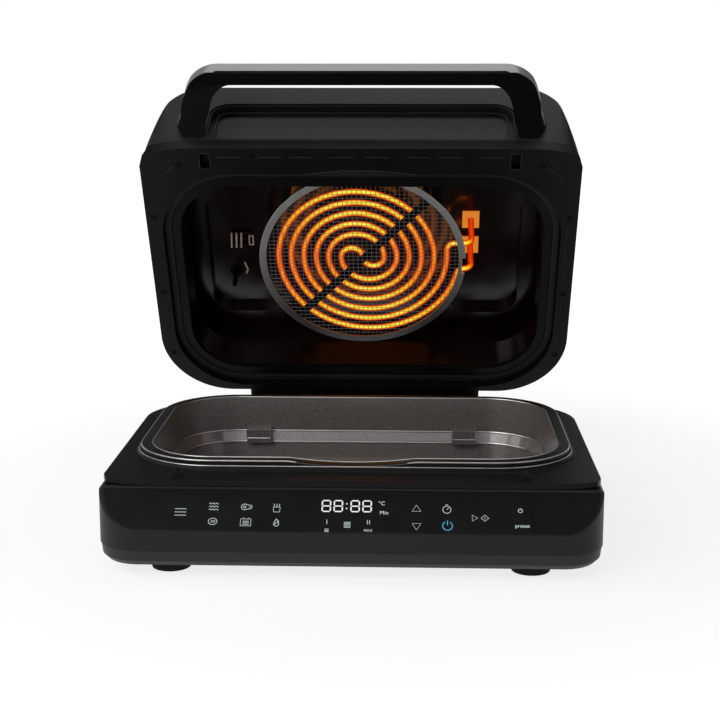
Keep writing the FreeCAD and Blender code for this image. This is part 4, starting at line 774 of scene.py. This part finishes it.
# %% [markdown]
# ## Marks of the cooking programmes
# The left keys carry small line drawings: waves of heat, a steak, chips, a tray, an oven and a
# drop. Each function draws one round a middle, as lists of points with a note of which lines close.

# %% Programme marks
LINE = 0.54
TURN = [math.tau * k / 22 for k in range(22)]


def menu_bars(x, y):
    """Three bars for the menu."""
    return [([(x - 5.2, y + rise), (x + 5.2, y + rise)], False) for rise in (-3.3, 0, 3.3)]


def heat_waves(x, y):
    """Three rows of waves, about five millimetres from crest to crest."""
    rows = []
    for rise in (-3.1, 0, 3.1):
        wave = [(x - 4.4 + 0.4 * k, y + rise + 0.6 * math.sin(0.4 * k * 2.1)) for k in range(23)]
        rows.append((wave, False))
    return rows


def steak(x, y):
    """A broad end and a narrow end round a bone."""
    body = ring_points(x - 1.9, y, 3, 50, 310) + ring_points(x + 2.8, y, 1.9, -100, 100)
    return [(body, True), (ring_points(x - 1.9, y, 1), True), ([(x + 2, y), (x + 3.4, y)], False)]


def fries(x, y):
    """A cup with three sticks."""
    cup = [(x - 3.2, y + 0.8), (x - 2.6, y - 4.2), (x + 2.6, y - 4.2), (x + 3.2, y + 0.8)]
    sticks = [([(x + dx, y + 1), (x + dx * 1.2, y + 4.2)], False) for dx in (-2.1, 0, 2.1)]
    return [(cup, True), *sticks]


def round_tray(x, y):
    """A dish with three strokes in it."""
    edge = [(x + 4 * math.cos(a), y + 3.4 * math.sin(a)) for a in TURN[::2]]
    net = [([(x + dx, y - 1.3), (x + dx + 0.5, y + 1.3)], False) for dx in (-1.5, 0, 1.5)]
    return [(edge, True), *net]


def small_oven(x, y):
    """A box with three shelves and two ears."""
    bars = [([(x - 2.8, y + dy), (x + 2.8, y + dy)], False) for dy in (-2.4, -0.8, 0.8)]
    ears = [([(x + dx, y + 3), (x + dx, y + 4.4)], False) for dx in (-2.2, 2.2)]
    return [(box_points(x, y - 0.4, 9.4, 7), True), *bars, *ears]


def drop(x, y):
    """A drop with a stroke across it."""
    leaf = [(x + 3 * math.sin(a) * math.sin(a / 2) ** 1.2, y + 3.7 * math.cos(a)) for a in TURN]
    return [(leaf, True), ([(x - 2.6, y - 2.6), (x + 2.4, y + 1.6)], False)]


def grill_bars(x, y, width, count):
    """Bars of a grill grate, 1.3 mm apart."""
    rows = [y + 1.3 * k for k in range(-count, count + 1)]
    return [([(x - width, row), (x + width, row)], False) for row in rows]


print("points round a curved mark:", len(TURN))

# %% [markdown]
# ## Marks of the settings
# The right keys set numbers and start the appliance: two triangles, a stopwatch, an arrow with a
# diamond for start and pause, and a small ring for warmth.


# %% Setting marks
def triangle(x, y, way):
    """Up for 1, down for -1."""
    return [([(x - 4, y - 2.9 * way), (x + 4, y - 2.9 * way), (x, y + 3.6 * way)], True)]


def stopwatch(x, y):
    """A dial with a knob and one hand."""
    return [
        (ring_points(x, y - 0.6, 3.7), True),
        ([(x - 1.2, y + 4.4), (x + 1.2, y + 4.4)], False),
        ([(x, y - 0.6), (x + 1.6, y + 1.2)], False),
    ]


def play_and_hold(x, y):
    """An arrow, and a diamond that holds a short stroke."""
    arrow = [(x - 2.5, y - 3), (x + 2.5, y), (x - 2.5, y + 3)]
    outer = [(x + 8.9 + dx, y + dy) for dx, dy in ((-3.5, 0), (0, -3.2), (3.5, 0), (0, 3.2))]
    return [(arrow, True), (outer, True), ([(x + 8.9, y - 0.9), (x + 8.9, y + 0.9)], False)]


def warm_ring(x, y):
    """A small ring with a glint."""
    return [(ring_points(x, y - 0.4, 1.9), True), ([(x + 0.2, y + 0.5), (x + 0.9, y + 1.3)], False)]


print("up arrow points:", len(triangle(0, 0, 1)[0][0]))

# %% [markdown]
# ## Laying the marks
# Each mark goes to its key in the panel's millimetres. All white marks become one mesh, because
# they share one print. The power mark is blue and stands alone.

# %% Laid marks
marks = [
    *menu_bars(-153.3, 20.6),
    *heat_waves(-123.3, 26.6),
    *steak(-93.3, 26.5),
    *fries(-66.0, 25.8),
    *round_tray(-123.2, 11.2),
    *small_oven(-93.3, 11.0),
    *drop(-65.6, 10.8),
    ([(-20, 9.8), (-20, 14.2)], False),
    ([(16.5, 9.8), (16.5, 14.2)], False),
    ([(18.5, 9.8), (18.5, 14.2)], False),
    *grill_bars(-20, 3.4, 1.9, 1),
    *grill_bars(-1.6, 9.2, 3, 2),
    *triangle(60.6, 26.6, 1),
    *triangle(60.7, 8.4, -1),
    *stopwatch(88, 26.4),
    *play_and_hold(113.3, 17.5),
    *warm_ring(154.2, 25.9),
]
key_marks = trace("panel_key_marks", marks, LINE, PANEL, height=INK)
finish(key_marks, "base", mark_light, "panel_gloss")

POWER = (88.5, 9.2)
POWER_LINE = 0.85
power_lines = [
    (ring_points(*POWER, 4.4, 120, 420), False),
    ([(POWER[0], POWER[1] + 0.6), (POWER[0], POWER[1] + 5.6)], False),
]
power_mark = trace("panel_power_mark", power_lines, POWER_LINE, PANEL, height=INK)
finish(power_mark, "base", power_light, "panel_gloss")
print("mark lines:", len(marks) + len(power_lines))

# %% [markdown]
# ## Words
# The units and two keys have plain words. Text is set flat, made a mesh, and then moved to the
# panel, with as little thickness as the ink has.


# %% Words for units and keys
def word(name, text, x, y, size):
    """Flat lettering centred on a place of the panel, made a thin mesh."""
    bpy.ops.object.text_add()
    piece = bpy.context.active_object
    piece.name = name
    piece.data.body = text
    piece.data.size = size * MM
    piece.data.extrude = INK / 2 * MM
    piece.data.align_x = "CENTER"
    piece.data.align_y = "CENTER"
    piece.data.resolution_u = 3
    bpy.ops.object.convert(target="MESH")
    piece = bpy.context.active_object
    piece.data.transform(PANEL @ Matrix.Translation((x * MM, y * MM, 0)))
    finish(piece, "base", mark_light, "panel_gloss")


WORDS = {
    "panel_unit_degrees": ("°C", 29.1, 31.4, 5.6),
    "panel_unit_minutes": ("Min", 31.4, 21.8, 5.4),
    "panel_word_max": ("MAX", 17.3, 3.5, 3.6),
    "panel_word_preset": ("preset", 155.5, 9.8, 5.2),
}
for name, (text, x, y, size) in WORDS.items():
    word(name, text, x, y, size)
print("words:", len(WORDS))

# %% [markdown]
# ## Lid shell and handle
# The shell is one tall moulding with a finger scoop in its front. The handle is a bail of black
# nylon with a satin metal band round it. A handle is felt as well as seen, so its edges are
# rounder.

# %% Lid shell and handle
shell = eased("lid_shell", "lid", lid_plastic, "black_plastic", 1.6, sharp=24, segments=3)
eased("handle_grip", "lid", handle_plastic, "black_plastic", 1.2, sharp=40, segments=3)
eased("handle_trim", "lid", trim_metal, "aluminium", 0.35, sharp=50)
paint("handle_screws", screw_metal)
print("shell faces:", len(shell.data.polygons))

# %% [markdown]
# ## Lips of the finger scoop
# The scoop in the lid's front has a double lip, where two slides of the mould met. Both lips run up
# one side, over the top and down the other, and the wall they lie on leans back by two degrees.

# %% Scoop lips
SCOOP_HALF = 163
SCOOP_TOP = 96
SCOOP_FOOT = 36
SCOOP_BEND = 22
SCOOP_LIP = 1.6
# How far each lip lies inside the scoop's edge, and how far back.
SCOOP_PLACES = ((1.2, -2.2), (7.5, 3.0))
WALL_LEAN = math.tan(math.radians(2))

scoop_lines = []
for inset, back in SCOOP_PLACES:
    side, top, bend = SCOOP_HALF - inset, SCOOP_TOP - inset, SCOOP_BEND - inset
    turn = [math.radians(a) for a in range(0, 91, 15)]
    right = [(side - bend + bend * math.cos(a), top - bend + bend * math.sin(a)) for a in turn]
    line = [(side, SCOOP_FOOT), *right]
    line += [(-x, z) for x, z in reversed(line)]
    scoop_lines.append(([(x, back + z * WALL_LEAN, z) for x, z in line], False))
scoop_lips = trace("scoop_lip_beads", scoop_lines, SCOOP_LIP, LID)
finish(scoop_lips, "lid", lid_plastic, "black_plastic")
print("scoop lips:", len(scoop_lines))

# %% [markdown]
# ## Rim frame
# A black frame closes the underside of the lid. The two mouldings are welded along shallow broken
# grooves between the screws. First the frame's two front corners are cut flat, then the grooves are
# cut with round bars laid on the surface, so their bottoms are round, as a ball cutter leaves them
# in the mould. The edges are rounded last, because a cut through a rounded edge goes wrong.

# %% Rim frame
GROOVE = 2.2
TOP_ROW = 6.2
TOP_DASHES = ((6, 31), (49, 72), (81, 105), (123, 148))
SIDE_ROW = 219.5
SIDE_DASHES = ((92, 112), (120, 142), (150, 172), (192, 214), (222, 244), (250, 260))
CORNER = (176, 54)
CORNER_BEND = 40
RIM_FACET = ((226, 4, 0), (230, 17, 0), (221.7, 4.6, 16))
RIM_SMOOTH = 14

grooves = []
for side in (-1, 1):
    for near, far in TOP_DASHES:
        grooves.append(([(side * near, TOP_ROW), (side * far, TOP_ROW)], False))
    for near, far in SIDE_DASHES:
        line = [(side * SIDE_ROW, near), (side * SIDE_ROW, far), (side * (SIDE_ROW - 3), far + 1.5)]
        grooves.append((line, False))
    # The corner's groove starts beyond the corner screw.
    start, end = (268, 205) if side < 0 else (272, 335)
    corner = ring_points(side * CORNER[0], CORNER[1], CORNER_BEND, start, end, 10)
    grooves.append((corner[4:], False))
    grooves.append(([(side * 196, 9), (side * 203, 15)], False))
rim = copy_of("rim_frame", "rim_frame_grooved")
for side in (-1, 1):
    near, far, top = (Vector((side * x, y, z)) * MM for x, y, z in RIM_FACET)
    way = (far - near).cross(top - near) * side
    plane_no = LID.to_3x3() @ way.normalized()
    pick(rim)
    bpy.ops.object.mode_set(mode="EDIT")
    bpy.ops.mesh.select_all(action="SELECT")
    bpy.ops.mesh.bisect(plane_co=LID @ near, plane_no=plane_no, use_fill=True, clear_outer=True)
    bpy.ops.object.mode_set(mode="OBJECT")
carve(rim, trace("rim_groove_cutter", grooves, GROOVE, LID, sides=1))
round_edges(rim, 0.35, sharp=50)
smooth(rim, RIM_SMOOTH)
finish(rim, "lid", rim_plastic, "black_plastic", "rim_frame")
print("rim grooves:", len(grooves))

# %% [markdown]
# ## Highlight lines in the grooves, sockets and lens notch
# A fine raised line stands in each groove, and the two sockets for the deck's fins and the notch over
# the lens have thin raised edges. All are in the lighter grey plastic, as painted highlights.

# %% Rim lines
GROOVE_HIGHLIGHT = 0.9
SOCKET_EDGE = 0.8
SOCKET = (161, 11)
SOCKET_SIZE = (10.8, 18.8)

# The lighter plastic of these lines is a painted highlight.
groove_highlights = trace("rim_groove_painted_highlights", grooves, GROOVE_HIGHLIGHT, LID, height=0.5)
finish(groove_highlights, "lid", tub_plastic, "black_plastic")
socket_lines = []
for side in (-1, 1):
    socket_lines.append((box_points(side * SOCKET[0], SOCKET[1], *SOCKET_SIZE), True))
notch = [(-57.5, 27.2), (-40, 24.6), (-20, 22.6), (-17.8, 20.8)]
notch += [(-15, 22.4), (18, 22.4), (38, 24.4), (58, 27.2)]
socket_lines.append((notch, False))
# These edges are painted highlights in the lighter plastic too.
socket_highlights = trace("rim_socket_painted_highlights", socket_lines, SOCKET_EDGE, LID, height=0.6)
finish(socket_highlights, "lid", tub_plastic, "black_plastic")
print("sockets and notch:", len(socket_lines))

# %% [markdown]
# ## Screws of the rim
# The screws are sunk pan heads with a cross recess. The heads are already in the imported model. The
# recess is cut into all of them at once, one slot after the other, because bars that cross each
# other make a cutter that no cut can follow.

# %% Rim screws
SCREW_PLACES = ((41, 6), (111.5, 6), (188, 15), (221, 81), (221, 181), (217.5, 268))
HEAD_LEVEL = 0.5
CROSS = 0.9

rim_screws = copy_of("rim_screws", "rim_screws_crossed")
for dx, dy in ((1.7, 0.6), (-0.6, 1.7)):
    slots = []
    for side in (-1, 1):
        for x, y in SCREW_PLACES:
            ends = [(side * x - dx, y - dy, HEAD_LEVEL), (side * x + dx, y + dy, HEAD_LEVEL)]
            slots.append((ends, False))
    carve(rim_screws, trace("screw_slot_cutter", slots, CROSS, LID, sides=1))
    print("screw faces:", len(rim_screws.data.polygons))
round_edges(rim_screws, 0.25, sharp=50)
smooth(rim_screws)
finish(rim_screws, "lid", screw_metal, "steel", "rim_screws")

# %% [markdown]
# ## Seal, yoke and liner
# The silicone seal presses on the pot's rim when the lid is shut. The yoke carries the lid from
# behind, and the liner is the enamelled ceiling of the cooking space.

# %% Seal, yoke and liner
eased("lid_seal", "lid", seal_rubber, "rubber", 0.8)
eased("hinge_yoke", "lid", rim_plastic, "black_plastic", 1.0)
liner = eased("cavity_liner", "lid", liner_enamel, "enamelled_steel", 0.5, sharp=20)
paint("yoke_screws", screw_metal)
print("liner faces:", len(liner.data.polygons))

# %% [markdown]
# ## Louvres in the left pocket
# Air returns to the motor side through small louvres. Their lips are painted pale, as painted light
# shining through the slots, bright against the enamel.

# %% Louvres
LOUVRE_LEVEL = 73.4
LOUVRE_LIP = 2.2

slots = [([(x, 153), (x - 1, 173)], False) for x in (-150.5, -145, -139.5)]
slots.append((box_points(-128.5, 163, 4.5, 12), True))
slots.append(([(-138, 194), (-135, 204), (-137, 210)], False))
louvre_lines = [([(x, y, LOUVRE_LEVEL) for x, y in line], closed) for line, closed in slots]
louvres = trace("liner_louvre_lips", louvre_lines, LOUVRE_LIP, LID, sides=1)
finish(louvres, "lid", louvre_painted_light_metal, "enamelled_steel")
print("louvre lips:", len(louvre_lines))

# %% [markdown]
# ## Heating tube, its plates and its strap
# The imported tube is already one smooth run, so it only gets smooth shading and its glow. Its two
# flange plates get a weaker, painted glow, and the strap that carries it stays dark.

# %% Heating tube
tube = eased("heater_coil", "lid", tube_glow, "heating_tube", 0)
eased("heater_terminals", "lid", painted_plate_glow, "terminal_plate", 0.6)
eased("heater_strap", "lid", strap_metal, "black_steel", 0.3)
print("tube faces:", len(tube.data.polygons))

# %% [markdown]
# ## Woven net of the guard
# The net keeps food and fingers off the tube. Real net is woven: each wire passes over one and
# under the next. The wires are laid as zigzags that swap sides at each crossing, at the real
# spacing of about 5 mm, and the ring holds their ends.

# %% Guard net
COIL_BACK = 152
NET_LEVEL = 20.9
NET_PITCH = 5.1
NET_RADIUS = 107.5
WIRE = 0.58
CRIMP = 0.27

half_count = int(NET_RADIUS / NET_PITCH)
wires = []
for k in range(-half_count, half_count + 1):
    offset = k * NET_PITCH
    reach = math.sqrt(NET_RADIUS**2 - offset**2)
    crossings = int(reach / NET_PITCH)
    for way in (0, 1):
        points = []
        for j in range(-crossings, crossings + 1):
            over = CRIMP if (j + k + way) % 2 else -CRIMP
            along, across = j * NET_PITCH, offset
            x, y = (along, across) if way == 0 else (across, along)
            points.append((x, COIL_BACK + y, NET_LEVEL + over))
        for end, edge in ((0, -reach), (len(points), reach)):
            x, y = (edge, offset) if way == 0 else (offset, edge)
            points.insert(end, (x, COIL_BACK + y, NET_LEVEL))
        wires.append((points, False))
net = trace("guard_woven_net", wires, WIRE, LID, sides=0)
finish(net, "lid", wire_metal, "steel", "guard_mesh")
print("net wires:", len(wires))

# %% [markdown]
# ## Ring of the guard
# The ring is pressed from stainless sheet. Its colour is scaled down at the lowest part of the ring,
# from there up to the middle, as painted shade. Dark clips hold it to the liner.

# %% Guard ring
SHADE_LOW = 0.18
SHADE_HIGH = 0.26
SHADE_LEAST = 0.3

# Painted shade: the ring's colour darkens towards its lowest part.
tree = guard_metal.node_tree
bare = tree.nodes["Principled BSDF"].inputs["Base Color"]
spot = add(tree, "ShaderNodeTexCoord").outputs["Object"]
rise = add(tree, "ShaderNodeSeparateXYZ", {"Vector": spot}).outputs["Z"]
span = {"From Min": SHADE_LOW, "From Max": SHADE_HIGH, "To Min": SHADE_LEAST}
ring_painted_shade = add(tree, "ShaderNodeMapRange", {"Value": rise, **span})
scaled = {0: bare.links[0].from_socket, "Scale": ring_painted_shade.outputs["Result"]}
add(tree, "ShaderNodeVectorMath", scaled, to=bare, operation="SCALE")
eased("guard_ring", "lid", guard_metal, "steel", 0.5)
eased("guard_clips", "lid", strap_metal, "steel", 0.3)
print("ring tint starts at (m):", SHADE_LOW)

# %% [markdown]
# ## Sensor, motor and fans
# The sensor reaches into the hot air. The motor sits above the liner and turns two fans on one
# shaft: one drives the hot air round the tube, the other cools the motor. Only glimpses of them
# show through the net, so small radii are enough.

# %% Sensor, motor and fans
eased("temperature_sensor", "lid", strap_metal, "steel", 0.3)
eased("motor_bracket", "lid", strap_metal, "black_steel", 0.4)
eased("fan_motor", "lid", motor_iron, "motor", 0.6)
# The air fan's dark colour is painted shade behind the tube.
air_fan = eased("air_fan", "fan", fan_painted_shade_metal, "aluminium", 0.2)
eased("cooling_fan", "fan", well_metal, "aluminium", 0.2)
eased("fan_shaft", "fan", pin_metal, "steel", 0.4)
print("air fan faces:", len(air_fan.data.polygons))

# %% [markdown]
# ## The studio
# A pale floor and plain soft lamps. The floor shows as white paper to the camera and in
# reflections, but near the appliance it is partly real paper, so that it keeps the shadow.

# %% Floor
FLOOR = 12
GLOW_NEAR = 0.72
FADE = (0.4, 0.9)


def background_rays(tree):
    """One for a ray that shows the background: to the camera, off gloss or through glass."""
    path = add(tree, "ShaderNodeLightPath").outputs
    most = path["Is Camera Ray"]
    for kind in ("Is Glossy Ray", "Is Transmission Ray"):
        pair = {0: most, 1: path[kind]}
        most = add(tree, "ShaderNodeMath", pair, operation="MAXIMUM").outputs["Value"]
    return most


bpy.ops.mesh.primitive_plane_add(size=FLOOR, location=(0, 0, 0))
floor = bpy.context.active_object
floor.name = "studio_floor"
floor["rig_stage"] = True
paper = bpy.data.materials.new("studio_paper_white")
paper.use_nodes = True
tree = paper.node_tree
white = tree.nodes["Principled BSDF"]
white.inputs["Base Color"].default_value = colour("#e8e8e8")
white.inputs["Roughness"].default_value = 0.9
glow = add(tree, "ShaderNodeEmission", {"Color": colour("#ffffff"), "Strength": 1.12})
seen = background_rays(tree)
spot = add(tree, "ShaderNodeTexCoord").outputs["Object"]
away = add(tree, "ShaderNodeVectorMath", {0: spot}, operation="LENGTH").outputs["Value"]
span = {"From Min": FADE[0], "From Max": FADE[1], "To Min": GLOW_NEAR}
fade = add(tree, "ShaderNodeMapRange", {"Value": away, **span}).outputs["Result"]
share = add(tree, "ShaderNodeMath", {0: seen, 1: fade}, operation="MULTIPLY").outputs["Value"]
layers = {0: share, 1: white.outputs["BSDF"], 2: glow.outputs["Emission"]}
add(tree, "ShaderNodeMixShader", layers, to=tree.nodes["Material Output"].inputs["Surface"])
floor.data.materials.append(paper)
print("floor (m):", round(floor.dimensions.x, 2))

# %% [markdown]
# ## Light from all round
# The air gives a weak grey light. The camera sees it as white. A reflection sees white only near
# the horizon and a dim ceiling above, as in a studio, so that black plastic stays black.

# %% Light from all round
CEILING = [(0.3, "#444444"), (1.0, "#404040")]

world = bpy.data.worlds.new("studio_air")
bpy.context.scene.world = world
world.use_nodes = True
tree = world.node_tree
air = tree.nodes["Background"]
way = add(tree, "ShaderNodeTexCoord").outputs["Generated"]
up = {"Fac": add(tree, "ShaderNodeSeparateXYZ", {"Vector": way}).outputs["Z"]}
plain = add(tree, "ShaderNodeValToRGB", up, [(0.0, "#747474"), *CEILING])
stops = [(0.0, "#ffffff"), (0.05, "#ffffff"), (0.12, "#747474"), *CEILING]
mirrored = add(tree, "ShaderNodeValToRGB", up, stops)
straight = add(tree, "ShaderNodeLightPath").outputs["Is Camera Ray"]
inputs = {"Factor": straight, 6: mirrored.outputs["Color"], 7: colour("#ffffff")}
shown = add(tree, "ShaderNodeMix", inputs, data_type="RGBA")
inputs = {"Factor": background_rays(tree), 6: plain.outputs["Color"], 7: shown.outputs[2]}
mixed = add(tree, "ShaderNodeMix", inputs, data_type="RGBA")
tree.links.new(mixed.outputs[2], air.inputs["Color"])
air.inputs["Strength"].default_value = 1
print("air:", world.name)

# %% [markdown]
# ## Lamps
# One large soft lamp from the front left does most of the work. Weaker ones fill the other sides,
# a long one in front draws the line along the panel, and one overhead and behind lights the
# handle's band and the lid's shoulders.

# %% Lamps
AIM = Vector((0, 0, 0.2))
# Place in metres, size in metres, power in watts.
LAMPS = {
    "lamp_key": ((-1.3, -1.7, 1.5), (1.6, 1.6), 28),
    "lamp_fill": ((1.6, -1.3, 1.0), (1.2, 1.2), 2),
    "lamp_left": ((-1.8, -0.1, 1.3), (1.2, 1.2), 13),
    "lamp_right": ((1.8, -0.1, 1.3), (1.2, 1.2), 2.5),
    "lamp_strip": ((0.0, -1.5, 1.6), (1.9, 0.4), 4),
    "lamp_over": ((0.0, 0.6, 1.85), (1.6, 0.5), 5),
    "lamp_back": ((0.2, 1.5, 1.3), (1.0, 1.0), 3),
}
for name, (spot, (wide, tall), power) in LAMPS.items():
    bpy.ops.object.light_add(type="AREA", location=spot)
    lamp = bpy.context.active_object
    lamp.name = name
    lamp.data.shape = "RECTANGLE"
    lamp.data.size = wide
    lamp.data.size_y = tall
    lamp.data.energy = power
    lamp.rotation_euler = (AIM - Vector(spot)).to_track_quat("-Z", "Y").to_euler()

bpy.context.scene.view_settings.view_transform = "Standard"
print("lamps:", len(LAMPS))

# %% [markdown]
# ## Sizes
# Both boxes, of the dressed model and of the imported one, are printed. The dressed model has to
# stay inside the imported one.

# %% Sizes
visual_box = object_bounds()
sizes = {
    "cad": [list(corner) for corner in cad_box],
    "visual": [list(corner) for corner in visual_box],
}
for label, (low, high) in sizes.items():
    print(label, "box (m):", [round(v, 4) for v in low], [round(v, 4) for v in high])
